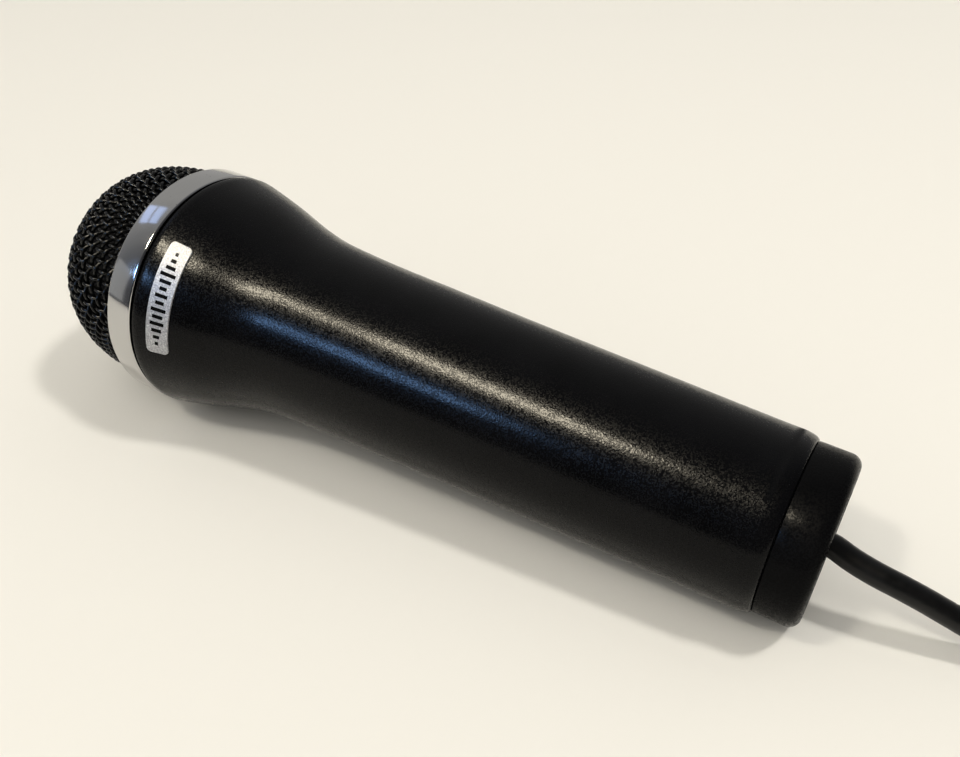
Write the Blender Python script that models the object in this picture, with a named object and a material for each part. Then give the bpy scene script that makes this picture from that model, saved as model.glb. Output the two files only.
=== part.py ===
"""Corded USB karaoke microphone, lying on its side with its cable folded into a tied hank.

The microphone is turned about one axis. Along it, x runs from the rear edge of the chrome ring
(x = 0) out through the grille (+x) and down the handle to the cable (-x). An empty, mic_axis,
carries that axis: it tilts a little, because the head is thicker than the tail and both rest on
the surface z = 0. The head (grille, foam, chrome ring, collar) unscrews from the handle's neck.
"""

from math import ceil, cos, pi, radians, sin

import bmesh
import bpy
from mathutils import Vector

MM = 0.001
GAP = 0.3 * MM  # between pieces that touch

# Head
RING_R = 25.6 * MM
RING_LENGTH = 6.1 * MM
RING_LIP = 0.95 * MM  # the ring's wall around the foot of the grille
DOME_R = 24.1 * MM
DOME_HEIGHT = 25.2 * MM
DOME_SQUARENESS = 2.75  # 2 is a true half ellipse
DOME_WALL = 1.3 * MM
DOME_FOOT_X = 4.4 * MM
FOAM_THICKNESS = 3.6 * MM
COLLAR_FRONT_X = 9.2 * MM
COLLAR_R = 23.6 * MM
RING_BORE_R = COLLAR_R + GAP
RING_BEVEL = 0.5 * MM
SEAL_X = -0.9 * MM
SEAL_R = 22.6 * MM
SEAL_SECTION_R = 0.6 * MM

# Screw thread between head and neck
THREAD_PITCH = 4.0 * MM
THREAD_TURNS = 1.25
NECK_R = 20.2 * MM
NECK_FRONT_X = 8.6 * MM
NECK_BORE_R = 18.3 * MM
COLLAR_BORE_R = 21.7 * MM
THREAD_DEPTH = 0.85 * MM
THREAD_ROOT_WIDTH = 1.5 * MM
THREAD_CREST_WIDTH = 0.8 * MM
THREAD_START_X = 1.2 * MM
THREAD_SINK = 0.4 * MM  # of the ridge's foot into the wall it stands on

# Handle
HANDLE_FRONT_X = -0.5 * MM
HANDLE_REAR_X = -128.3 * MM
HANDLE_WALL = 2.4 * MM
# Outer radius along the handle: (distance behind the ring, radius)
HANDLE_OUTLINE = [
    (0.5, 25.15),
    (0.8, 25.5),
    (1.5, 25.6),
    (4.7, 24.9),
    (8.0, 24.1),
    (11.5, 23.15),
    (15.0, 22.1),
    (19.0, 20.95),
    (23.5, 19.95),
    (28.5, 19.3),
    (39.5, 18.65),
    (53.0, 18.3),
    (71.0, 17.8),
    (94.5, 17.3),
    (118.0, 16.8),
    (125.4, 16.7),
]
SHOULDER_LENGTH = 2.9 * MM  # the rounded rear edge, along the handle
SHOULDER_DROP = 1.0 * MM  # and inward
STOP_FRONT_X = 5.0 * MM  # a partition across the neck, behind the capsule's carrier
STOP_REAR_X = -4.5 * MM
STOP_BORE_R = 16.4 * MM
SEAT_R = 23.6 * MM  # the step that the seal lies on
SEAT_DEPTH = 1.4 * MM

# Label
LABEL_LENGTH = 23.0 * MM  # around the handle
LABEL_WIDTH = 4.6 * MM
LABEL_X = -6.65 * MM
LABEL_ANGLE = 30.0  # of its middle, above the horizontal, on the +Y side
LABEL_THICKNESS = 0.35 * MM
LABEL_GAP = 0.8 * GAP

# Tail
TAIL_R = 15.75 * MM
TAIL_LENGTH = 7.6 * MM
TAIL_GAP = 0.3 * MM  # the seam between handle and tail cap
TAIL_PLUG_R = 13.7 * MM
TAIL_PLUG_LENGTH = 12.0 * MM
TAIL_ROUND = 2.2 * MM
END_DISC_R = 13.1 * MM
TAIL_HOLLOW_R = 11.2 * MM
END_DISC_THICKNESS = 2.0 * MM
END_DISC_INSET = 0.1 * MM
END_DISC_BORE_R = 4.4 * MM
GROMMET_NECK_R = 4.1 * MM
GROMMET_FLANGE_R = 5.6 * MM
CABLE_STOP_R = 6.2 * MM
CABLE_STOP_LENGTH = 4.0 * MM

# Capsule and its carrier
CARRIER_PLATE_X = STOP_FRONT_X + GAP
CARRIER_TUBE_R = 9.0 * MM
CARRIER_TUBE_X = 17.5 * MM
BOOT_R = 7.6 * MM
CAPSULE_R = 4.85 * MM
CAPSULE_LENGTH = 6.7 * MM
CAPSULE_FRONT_X = 17.0 * MM
CARRIER_PLATE = 2.0 * MM
CARRIER_HOLE_R = 2.2 * MM
FELT_THICKNESS = 0.5 * MM
LEAD_R = 0.55 * MM

# Circuit board
BOARD_FRONT_X = -51.0 * MM
BOARD_LENGTH = 46.0 * MM
BOARD_WIDTH = 24.0 * MM
BOARD_THICKNESS = 1.6 * MM
BOARD_Z = 0.0  # underside of the board, on the microphone's axis
TRAY_THICKNESS = 1.8 * MM
TRAY_WIDTH = 25.0 * MM  # its edges ride in the handle's bore
TRAY_DROP = 5.0 * MM  # from the board's underside to the tray's top
POST_R = 2.6 * MM
SCREW_HOLE_R = 1.35 * MM
SCREW_INSET = 4.0 * MM
SCREW_HEAD_R = 2.3 * MM
SCREW_HEAD_HEIGHT = 1.5 * MM
SCREW_LENGTH = 5.6 * MM
CHIP_SIZE = (7.0 * MM, 7.0 * MM, 1.4 * MM)
CHIP_PLACE = (3.0 * MM, 1.0 * MM)  # along and across, from the board's middle
CRYSTAL_SIZE = (4.5 * MM, 10.5 * MM, 3.4 * MM)
CRYSTAL_PLACE = (-7.0 * MM, 2.0 * MM)
CONNECTOR_SIZE = (6.0 * MM, 10.0 * MM, 6.0 * MM)
CONNECTOR_PLACE = (-18.0 * MM, 4.5 * MM)
CAPACITOR_PLACES = {"front": (15.5 * MM, -6.5 * MM), "rear": (9.0 * MM, -6.5 * MM)}
CAPACITOR_R = 2.5 * MM
CAPACITOR_HEIGHT = 7.0 * MM

# Cable
CABLE_D = 4.4 * MM
CABLE_R = CABLE_D / 2
WINDING_STEP = 4.5 * MM  # from one turn's centre to the next
HANK_COLUMNS = 3
HANK_LAYERS = 3
HANK_RUN = 100.0 * MM
HANK_INNER_R = 15.2 * MM
HANK_FRONT = 47.6 * MM  # from the microphone's end face to the hank
HANK_SIDE = 7.0 * MM
TIE_WIDTH = 12.0 * MM
TIE_THICKNESS = 1.1 * MM
TIE_SHIFT = 12.0 * MM  # towards the microphone from the hank's middle

# The free cable's own points: (distance behind the end face, sideways to +Y, height)
CABLE_ROUTE = [
    (0.7, 0.05, 15.6),
    (4.0, 0.4, 14.5),
    (8.0, 0.5, 13.4),
    (12.0, 0.2, 12.3),
    (16.0, -0.3, 10.9),
    (20.0, -0.9, 9.2),
    (24.0, -1.6, 7.4),
    (29.0, -2.8, 5.3),
    (35.0, -4.6, 3.5),
    (41.0, -6.9, 2.5),
    (47.5, -9.3, 2.25),
]
HANK_OUTER_R = HANK_INNER_R + (HANK_COLUMNS - 1) * WINDING_STEP + CABLE_R
HANK_HEIGHT = (HANK_LAYERS - 1) * WINDING_STEP + CABLE_D + 0.1 * MM

# Plug
PLUG_BODY = (20.0 * MM, 15.6 * MM, 8.0 * MM)
PLUG_SHELL = (12.0 * MM, 12.0 * MM, 4.5 * MM)
PLUG_WALL = 0.35 * MM
PLUG_BOOT_LENGTH = 8.0 * MM
PLUG_REAR_X = -31.0 * MM  # of the overmould, from the hank's middle

# Roundness
SEGMENTS = 36
SMALL_SEGMENTS = 20
SHOULDER_STEPS = 3
# ---------------------------------------------------------------- general helpers


def material(name, colour, roughness, metallic=0.0):
    mat = bpy.data.materials.get(name)
    if mat is None:
        mat = bpy.data.materials.new(name)
        mat.use_nodes = True
        shader = mat.node_tree.nodes["Principled BSDF"]
        shader.inputs["Base Color"].default_value = (*colour, 1.0)
        shader.inputs["Roughness"].default_value = roughness
        shader.inputs["Metallic"].default_value = metallic
    return mat


MATERIALS = {
    "black_wire": ((0.012, 0.012, 0.013), 0.35, 0.6),
    "chrome": ((0.78, 0.78, 0.80), 0.06, 1.0),
    "black_body": ((0.012, 0.012, 0.014), 0.38, 0.0),
    "black_trim": ((0.014, 0.014, 0.015), 0.45, 0.0),
    "silver_label": ((0.62, 0.62, 0.63), 0.35, 0.7),
    "foam": ((0.03, 0.03, 0.032), 0.95, 0.0),
    "rubber": ((0.02, 0.02, 0.02), 0.75, 0.0),
    "cable_jacket": ((0.013, 0.013, 0.014), 0.42, 0.0),
    "aluminium": ((0.70, 0.70, 0.72), 0.3, 1.0),
    "steel": ((0.55, 0.55, 0.57), 0.28, 1.0),
    "felt": ((0.05, 0.05, 0.055), 1.0, 0.0),
    "grey_plastic": ((0.12, 0.12, 0.13), 0.5, 0.0),
    "board_green": ((0.02, 0.16, 0.06), 0.45, 0.0),
    "chip_black": ((0.02, 0.02, 0.022), 0.55, 0.0),
    "white_plastic": ((0.80, 0.79, 0.74), 0.45, 0.0),
    "lead_red": ((0.45, 0.02, 0.02), 0.45, 0.0),
    "lead_black": ((0.02, 0.02, 0.02), 0.45, 0.0),
    "tie_fabric": ((0.03, 0.03, 0.033), 0.9, 0.0),
}


def new_object(name, bm, finish, parent=None):
    mesh = bpy.data.meshes.new(name)
    bm.to_mesh(mesh)
    bm.free()
    mesh.materials.append(material(finish, *MATERIALS[finish]))
    obj = bpy.data.objects.new(name, mesh)
    bpy.context.collection.objects.link(obj)
    obj.parent = parent
    return obj


def smooth(obj, degrees=32):
    obj.data.shade_smooth()
    obj.data.set_sharp_from_angle(angle=radians(degrees))
    return obj


def turned(name, outline, finish, parent, segments=SEGMENTS):
    """A closed outline of (x, radius) points turned about the x axis."""
    bm = bmesh.new()
    ring = [bm.verts.new((x, 0.0, -r)) for x, r in outline]
    edges = [bm.edges.new((a, b)) for a, b in zip(ring, ring[1:])]
    if min(r for _, r in outline) > 0:
        edges.append(bm.edges.new((ring[-1], ring[0])))
    bmesh.ops.spin(
        bm,
        geom=ring + edges,
        cent=(0, 0, 0),
        axis=(1, 0, 0),
        angle=2 * pi,
        steps=segments,
        use_merge=True,
    )
    bmesh.ops.remove_doubles(bm, verts=bm.verts, dist=1e-7)
    bmesh.ops.recalc_face_normals(bm, faces=bm.faces)
    return smooth(new_object(name, bm, finish, parent))


def block(name, size, centre, finish, parent, bevel=0.0):
    bm = bmesh.new()
    bmesh.ops.create_cube(bm, size=1.0)
    bmesh.ops.scale(bm, vec=size, verts=bm.verts)
    obj = new_object(name, bm, finish, parent)
    obj.location = centre
    if bevel:
        edge = obj.modifiers.new("rounded_edges", "BEVEL")
        edge.width = bevel
        edge.segments = 2
        edge.limit_method = "ANGLE"
    return obj


def guide(obj):
    """Marks an operand of a Boolean, which isn't a piece of the microphone."""
    obj.hide_render = True
    obj.display_type = "WIRE"
    return obj


def boolean(obj, other, operation):
    step = obj.modifiers.new(f"{operation.lower()}_{other.name}", "BOOLEAN")
    step.operation = operation
    step.object = guide(other)
    step.solver = "EXACT"


def catmull_rom(points, spacing):
    """Points about a spacing apart on the smooth curve through the given points."""
    pts = [Vector(p) for p in points]
    pts = [2 * pts[0] - pts[1]] + pts + [2 * pts[-1] - pts[-2]]
    out = []
    for a, b, c, d in zip(pts, pts[1:], pts[2:], pts[3:]):
        steps = max(1, ceil((c - b).length / spacing))
        for k in range(steps):
            t = k / steps
            out.append(
                0.5
                * (
                    2 * b
                    + (c - a) * t
                    + (2 * a - 5 * b + 4 * c - d) * t**2
                    + (3 * b - a - 3 * c + d) * t**3
                )
            )
    return out + [pts[-2]]


def tube(name, points, radius, finish, parent=None, resolution=2):
    curve = bpy.data.curves.new(name, "CURVE")
    curve.dimensions = "3D"
    curve.bevel_depth = radius
    curve.bevel_resolution = resolution
    curve.use_fill_caps = True
    spline = curve.splines.new("POLY")
    spline.points.add(len(points) - 1)
    for point, co in zip(spline.points, points):
        point.co = (*co, 1.0)
        point.radius = 1.0
    curve.materials.append(material(finish, *MATERIALS[finish]))
    obj = bpy.data.objects.new(name, curve)
    bpy.context.collection.objects.link(obj)
    obj.parent = parent
    return obj


def arc(cx, cr, radius, start, end, steps):
    """Outline points of a round corner about (cx, cr), angles in degrees from +x."""
    angles = [radians(start + (end - start) * k / steps) for k in range(steps + 1)]
    return [(cx + radius * cos(a), cr + radius * sin(a)) for a in angles]


# ---------------------------------------------------------------- outlines and the rest tilt


def handle_outline():
    """Outer outline of the handle, front to rear, as (x, radius)."""
    knots = [(-s * MM, r * MM, 0.0) for s, r in HANDLE_OUTLINE]
    curve = [(p.x, p.y) for p in catmull_rom(knots, 14 * MM)]
    last_r = curve[-1][1]
    for k in range(1, SHOULDER_STEPS + 1):
        turn = pi / 2 * k / SHOULDER_STEPS
        x = HANDLE_REAR_X + SHOULDER_LENGTH * (1 - sin(turn))
        curve.append((x, last_r - SHOULDER_DROP * (1 - cos(turn))))
    return curve


def lowest(outline, tilt):
    return min(x * sin(tilt) - r * cos(tilt) for x, r in outline)


def rest_tilt():
    """The tilt at which the handle's front edge and its tail reach the surface together."""
    outline = handle_outline()
    front = [p for p in outline if p[0] > -40 * MM]
    rear = [p for p in outline if p[0] < -100 * MM]
    low, high = 0.0, 0.2
    for _ in range(40):
        tilt = (low + high) / 2
        if lowest(front, tilt) < lowest(rear, tilt):
            low = tilt
        else:
            high = tilt
    return tilt


def dome_radius(height, base, top):
    return base * max(0.0, 1 - (height / top) ** DOME_SQUARENESS) ** (1 / DOME_SQUARENESS)


def dome_shell(foot_x, base, top, wall, steps):
    """Closed outline of a domed bowl whose outside starts at foot_x above the ring's front."""
    front = RING_LENGTH

    def side(r0, h0, x0):
        turns = [k / steps * pi / 2 for k in range(1, steps)]
        heights = [h0 * sin(t) ** 1.15 for t in turns]
        points = [(front + h, dome_radius(h, r0, h0)) for h in heights]
        return [(x0, r0)] + [p for p in points if p[0] > x0 + 0.4 * MM] + [(front + h0, 0.0)]

    outer = side(base, top, foot_x)
    inner = side(base - wall, top - wall, foot_x)
    return inner[::-1] + outer


TILT = rest_tilt()
AXIS_HEIGHT = -lowest(handle_outline(), TILT)


# ---------------------------------------------------------------- pieces of the head


def thread(name, root_r, crest_r, start_x, parent):
    """A right-handed helical ridge, sunk a little into the wall it stands on."""
    bm = bmesh.new()
    inward = THREAD_SINK if root_r < crest_r else -THREAD_SINK
    section = [
        (-THREAD_ROOT_WIDTH / 2, root_r - inward),
        (-THREAD_ROOT_WIDTH / 2, root_r),
        (-THREAD_CREST_WIDTH / 2, crest_r),
        (THREAD_CREST_WIDTH / 2, crest_r),
        (THREAD_ROOT_WIDTH / 2, root_r),
        (THREAD_ROOT_WIDTH / 2, root_r - inward),
    ]
    steps = round(THREAD_TURNS * 30)
    rings = []
    for k in range(steps + 1):
        turn = THREAD_TURNS * k / steps
        angle = 2 * pi * turn + 0.05
        x0 = start_x + THREAD_PITCH * turn
        rings.append(
            [bm.verts.new((x0 + x, r * cos(angle), r * sin(angle))) for x, r in section]
        )
    for a, b in zip(rings, rings[1:]):
        for i in range(len(section)):
            j = (i + 1) % len(section)
            bm.faces.new((a[i], a[j], b[j], b[i]))
    bm.faces.new(rings[0])
    bm.faces.new(rings[-1])
    bmesh.ops.recalc_face_normals(bm, faces=bm.faces)
    return new_object(name, bm, "grey_plastic", parent)


def build_head(axis):
    turned(
        "grille_dome",
        dome_shell(DOME_FOOT_X, DOME_R, DOME_HEIGHT, DOME_WALL, 8),
        "black_wire",
        axis,
    )
    foam_base = DOME_R - DOME_WALL - 2 * GAP
    foam_top = DOME_HEIGHT - DOME_WALL - 2 * GAP
    turned(
        "foam_liner",
        dome_shell(COLLAR_FRONT_X + GAP, foam_base, foam_top, FOAM_THICKNESS, 7),
        "foam",
        axis,
        28,
    )
    lip_r = RING_R - RING_LIP
    turned(
        "chrome_ring",
        [
            (0.0, RING_BORE_R),
            (0.0, RING_R - RING_BEVEL),
            (0.9 * RING_BEVEL, RING_R),
            (RING_LENGTH - RING_BEVEL, RING_R),
            (RING_LENGTH, RING_R - 0.7 * RING_BEVEL),
            (RING_LENGTH, lip_r),
            (DOME_FOOT_X - GAP, lip_r),
            (DOME_FOOT_X - GAP, RING_BORE_R),
        ],
        "chrome",
        axis,
    )
    collar = turned(
        "head_collar",
        [
            (0.0, COLLAR_BORE_R),
            (0.0, COLLAR_R),
            (DOME_FOOT_X - GAP, COLLAR_R),
            (DOME_FOOT_X - GAP, DOME_R - DOME_WALL - GAP),
            (COLLAR_FRONT_X, DOME_R - DOME_WALL - GAP),
            (COLLAR_FRONT_X, COLLAR_BORE_R),
        ],
        "grey_plastic",
        axis,
    )
    ridge = thread(
        "collar_thread",
        COLLAR_BORE_R * cos(pi / SEGMENTS),
        COLLAR_BORE_R - THREAD_DEPTH,
        THREAD_START_X + THREAD_PITCH / 2,
        axis,
    )
    boolean(collar, ridge, "UNION")


def build_seal(axis):
    """The soft ring between the head and the handle's shoulder."""
    outline = arc(SEAL_X, SEAL_R, SEAL_SECTION_R, 0, 315, 7)
    turned("neck_seal", outline, "rubber", axis)


# ---------------------------------------------------------------- pieces of the handle


def build_handle(axis):
    outer = handle_outline()
    wall = [(x, r - HANDLE_WALL) for x, r in outer if x < -9 * MM]
    tail_bore = TAIL_PLUG_R + GAP + 0.1 * MM
    bore_start = HANDLE_REAR_X + TAIL_PLUG_LENGTH + 1.5 * MM
    inner = [(x, max(r, tail_bore)) for x, r in wall if x > bore_start + 2 * MM]
    outline = (
        [
            (NECK_FRONT_X, NECK_BORE_R),
            (NECK_FRONT_X, NECK_R - 0.5 * MM),
            (NECK_FRONT_X - 0.6 * MM, NECK_R),
            (HANDLE_FRONT_X - SEAT_DEPTH, NECK_R),
            (HANDLE_FRONT_X - SEAT_DEPTH, SEAT_R),
            (HANDLE_FRONT_X, SEAT_R),
        ]
        + outer
        + [
            (HANDLE_REAR_X, tail_bore),
            (bore_start, tail_bore),
        ]
        + inner[::-1]
        + [
            (STOP_REAR_X - 2.0 * MM, 21.6 * MM),
            (STOP_REAR_X, STOP_BORE_R),
            (STOP_FRONT_X, STOP_BORE_R),
            (STOP_FRONT_X, NECK_BORE_R),
        ]
    )
    shell = turned("handle_shell", outline, "black_body", axis)
    ridge = thread(
        "neck_thread",
        NECK_R * cos(pi / SEGMENTS),
        NECK_R + THREAD_DEPTH,
        THREAD_START_X,
        axis,
    )
    boolean(shell, ridge, "UNION")


def handle_radius(x):
    outline = handle_outline()
    for (xa, ra), (xb, rb) in zip(outline, outline[1:]):
        if xb <= x <= xa:
            return ra + (rb - ra) * (xa - x) / (xa - xb)
    raise ValueError(x)


def build_label(axis):
    """A thin plate laid around the handle's flared front."""
    bm = bmesh.new()
    columns, rows = 12, 4
    half_turn = LABEL_LENGTH / handle_radius(LABEL_X) / 2
    layers = []
    for lift in (LABEL_GAP, LABEL_GAP + LABEL_THICKNESS):
        grid = []
        for i in range(columns + 1):
            angle = radians(LABEL_ANGLE) + half_turn * (2 * i / columns - 1)
            line = []
            for j in range(rows + 1):
                x = LABEL_X + LABEL_WIDTH * (j / rows - 0.5)
                r = handle_radius(x) + lift
                line.append(bm.verts.new((x, r * cos(angle), r * sin(angle))))
            grid.append(line)
        layers.append(grid)
    for grid in layers:
        for a, b in zip(grid, grid[1:]):
            for j in range(rows):
                bm.faces.new((a[j], a[j + 1], b[j + 1], b[j]))
    low, high = (
        [line[0] for line in g]
        + [g[-1][j] for j in range(1, rows + 1)]
        + [line[-1] for line in g[-2::-1]]
        + [g[0][j] for j in range(rows - 1, 0, -1)]
        for g in layers
    )
    for k in range(len(low)):
        n = (k + 1) % len(low)
        bm.faces.new((low[k], low[n], high[n], high[k]))
    bmesh.ops.recalc_face_normals(bm, faces=bm.faces)
    smooth(new_object("label_plate", bm, "silver_label", axis))


def build_capsule(axis):
    plate_r = NECK_BORE_R - GAP - 0.1 * MM
    plate_front = CARRIER_PLATE_X + CARRIER_PLATE
    turned(
        "capsule_carrier",
        [
            (CARRIER_PLATE_X, CARRIER_HOLE_R),
            (CARRIER_PLATE_X, plate_r),
            (plate_front, plate_r),
            (plate_front + 0.6 * MM, CARRIER_TUBE_R + 1.5 * MM),
            (plate_front + 2.5 * MM, CARRIER_TUBE_R),
            (CARRIER_TUBE_X, CARRIER_TUBE_R),
            (CARRIER_TUBE_X, BOOT_R + GAP),
            (plate_front, BOOT_R + GAP),
            (plate_front, CARRIER_HOLE_R),
        ],
        "grey_plastic",
        axis,
        28,
    )
    boot_back = plate_front + GAP
    capsule_back = CAPSULE_FRONT_X - CAPSULE_LENGTH
    turned(
        "capsule_boot",
        [
            (boot_back, 2.4 * MM),
            (boot_back, BOOT_R),
            (CAPSULE_FRONT_X - 0.6 * MM, BOOT_R),
            (CAPSULE_FRONT_X, BOOT_R - 0.6 * MM),
            (CAPSULE_FRONT_X, CAPSULE_R + GAP),
            (capsule_back - GAP, CAPSULE_R + GAP),
            (capsule_back - GAP, 2.4 * MM),
        ],
        "rubber",
        axis,
        SMALL_SEGMENTS,
    )
    turned(
        "microphone_capsule",
        [
            (capsule_back, 0.0),
            (capsule_back, CAPSULE_R - 0.3 * MM),
            (capsule_back + 0.3 * MM, CAPSULE_R),
            (CAPSULE_FRONT_X - 0.3 * MM, CAPSULE_R),
            (CAPSULE_FRONT_X, CAPSULE_R - 0.3 * MM),
            (CAPSULE_FRONT_X, 0.0),
        ],
        "aluminium",
        axis,
        SMALL_SEGMENTS,
    )
    felt_x = CAPSULE_FRONT_X + GAP
    turned(
        "capsule_felt",
        [
            (felt_x, 0.0),
            (felt_x, CAPSULE_R - 0.3 * MM),
            (felt_x + FELT_THICKNESS, CAPSULE_R - 0.3 * MM),
            (felt_x + FELT_THICKNESS, 0.0),
        ],
        "felt",
        axis,
        SMALL_SEGMENTS,
    )


def screw_places():
    front = BOARD_FRONT_X - SCREW_INSET
    rear = BOARD_FRONT_X - BOARD_LENGTH + SCREW_INSET
    side = BOARD_WIDTH / 2 - SCREW_INSET
    return {"front": (front, side), "rear": (rear, -side)}


def post(name, x, y, z0, z1, radius, axis, finish="grey_plastic"):
    bm = bmesh.new()
    bmesh.ops.create_cone(
        bm,
        cap_ends=True,
        segments=16,
        radius1=radius,
        radius2=radius,
        depth=z1 - z0,
    )
    obj = new_object(name, bm, finish, axis)
    obj.location = (x, y, (z0 + z1) / 2)
    return obj


def build_board(axis):
    board_mid = BOARD_FRONT_X - BOARD_LENGTH / 2
    tray_top = BOARD_Z - TRAY_DROP
    tray = block(
        "board_tray",
        (BOARD_LENGTH + 14 * MM, TRAY_WIDTH, TRAY_THICKNESS),
        (board_mid, 0, tray_top - TRAY_THICKNESS / 2),
        "grey_plastic",
        axis,
    )
    board = block(
        "circuit_board",
        (BOARD_LENGTH, BOARD_WIDTH, BOARD_THICKNESS),
        (board_mid, 0, BOARD_Z + BOARD_THICKNESS / 2),
        "board_green",
        axis,
    )
    for place, (x, y) in screw_places().items():
        pillar = post(f"tray_post_{place}", x, y, tray_top - 0.8 * MM, BOARD_Z - GAP, POST_R, axis)
        boolean(tray, pillar, "UNION")
        hole = post(f"tray_hole_{place}", x, y, tray_top, BOARD_Z + 1 * MM, SCREW_HOLE_R, axis)
        boolean(tray, hole, "DIFFERENCE")
        through = post(
            f"board_hole_{place}", x, y, BOARD_Z - 1 * MM, BOARD_Z + 3 * MM, SCREW_HOLE_R, axis
        )
        boolean(board, through, "DIFFERENCE")
        top = BOARD_Z + BOARD_THICKNESS + GAP
        shank = SCREW_HOLE_R - GAP
        screw = turned(
            f"board_screw_{place}",
            [
                (-SCREW_LENGTH, 0.0),
                (-SCREW_LENGTH + 0.6 * MM, shank * 0.6),
                (-SCREW_LENGTH + 1.2 * MM, shank),
                (0.0, shank),
                (0.0, SCREW_HEAD_R),
                (0.6 * SCREW_HEAD_HEIGHT, SCREW_HEAD_R - 0.1 * MM),
                (SCREW_HEAD_HEIGHT, SCREW_HEAD_R - 0.8 * MM),
                (SCREW_HEAD_HEIGHT, 0.9 * MM),
                (SCREW_HEAD_HEIGHT - 0.7 * MM, 0.7 * MM),
                (SCREW_HEAD_HEIGHT - 0.7 * MM, 0.0),
            ],
            "steel",
            axis,
            16,
        )
        screw.rotation_euler = (0, -pi / 2, 0)
        screw.location = (x, y, top)
    seat = BOARD_Z + BOARD_THICKNESS + GAP
    for name, size, place, finish, bevel in (
        ("usb_audio_chip", CHIP_SIZE, CHIP_PLACE, "chip_black", 0.2 * MM),
        ("clock_crystal", CRYSTAL_SIZE, CRYSTAL_PLACE, "aluminium", 0.8 * MM),
        ("cable_connector", CONNECTOR_SIZE, CONNECTOR_PLACE, "white_plastic", 0.3 * MM),
    ):
        centre = (board_mid + place[0], place[1], seat + size[2] / 2)
        block(name, size, centre, finish, axis, bevel)
    for place, (dx, y) in CAPACITOR_PLACES.items():
        can = turned(
            f"capacitor_{place}",
            [
                (0.0, 0.0),
                (0.0, CAPACITOR_R - 0.2 * MM),
                (0.6 * MM, CAPACITOR_R),
                (1.0 * MM, CAPACITOR_R - 0.25 * MM),
                (1.4 * MM, CAPACITOR_R),
                (CAPACITOR_HEIGHT - 0.4 * MM, CAPACITOR_R),
                (CAPACITOR_HEIGHT, CAPACITOR_R - 0.3 * MM),
                (CAPACITOR_HEIGHT, 0.0),
            ],
            "aluminium",
            axis,
            16,
        )
        can.rotation_euler = (0, -pi / 2, 0)
        can.location = (board_mid + dx, y, seat)


def build_leads(axis):
    """The capsule's two wires, from its back to the front of the board."""
    seat = BOARD_Z + BOARD_THICKNESS + 1.2 * MM
    for name, side in (("capsule_lead_red", 1), ("capsule_lead_black", -1)):
        route = [
            (7.0 * MM, side * 0.8 * MM, 0.0),
            (2.0 * MM, side * 0.9 * MM, 0.0),
            (-8.0 * MM, side * 2.0 * MM, -1.0 * MM),
            (-17.0 * MM, side * 3.4 * MM, -4.0 * MM),
            (BOARD_FRONT_X + 24 * MM, side * 3.0 * MM, -3.0 * MM),
            (BOARD_FRONT_X + 13 * MM, side * 2.2 * MM, 2.0 * MM),
            (BOARD_FRONT_X + 5 * MM, side * 1.8 * MM, 4.2 * MM),
            (BOARD_FRONT_X - 1 * MM, side * 1.6 * MM, seat + 1.2 * MM),
            (BOARD_FRONT_X - 4.5 * MM, side * 1.6 * MM, seat),
        ]
        tube(name, catmull_rom(route, 5 * MM), LEAD_R, f"lead_{name[13:]}", axis, 1)


# ---------------------------------------------------------------- pieces of the tail


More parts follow.
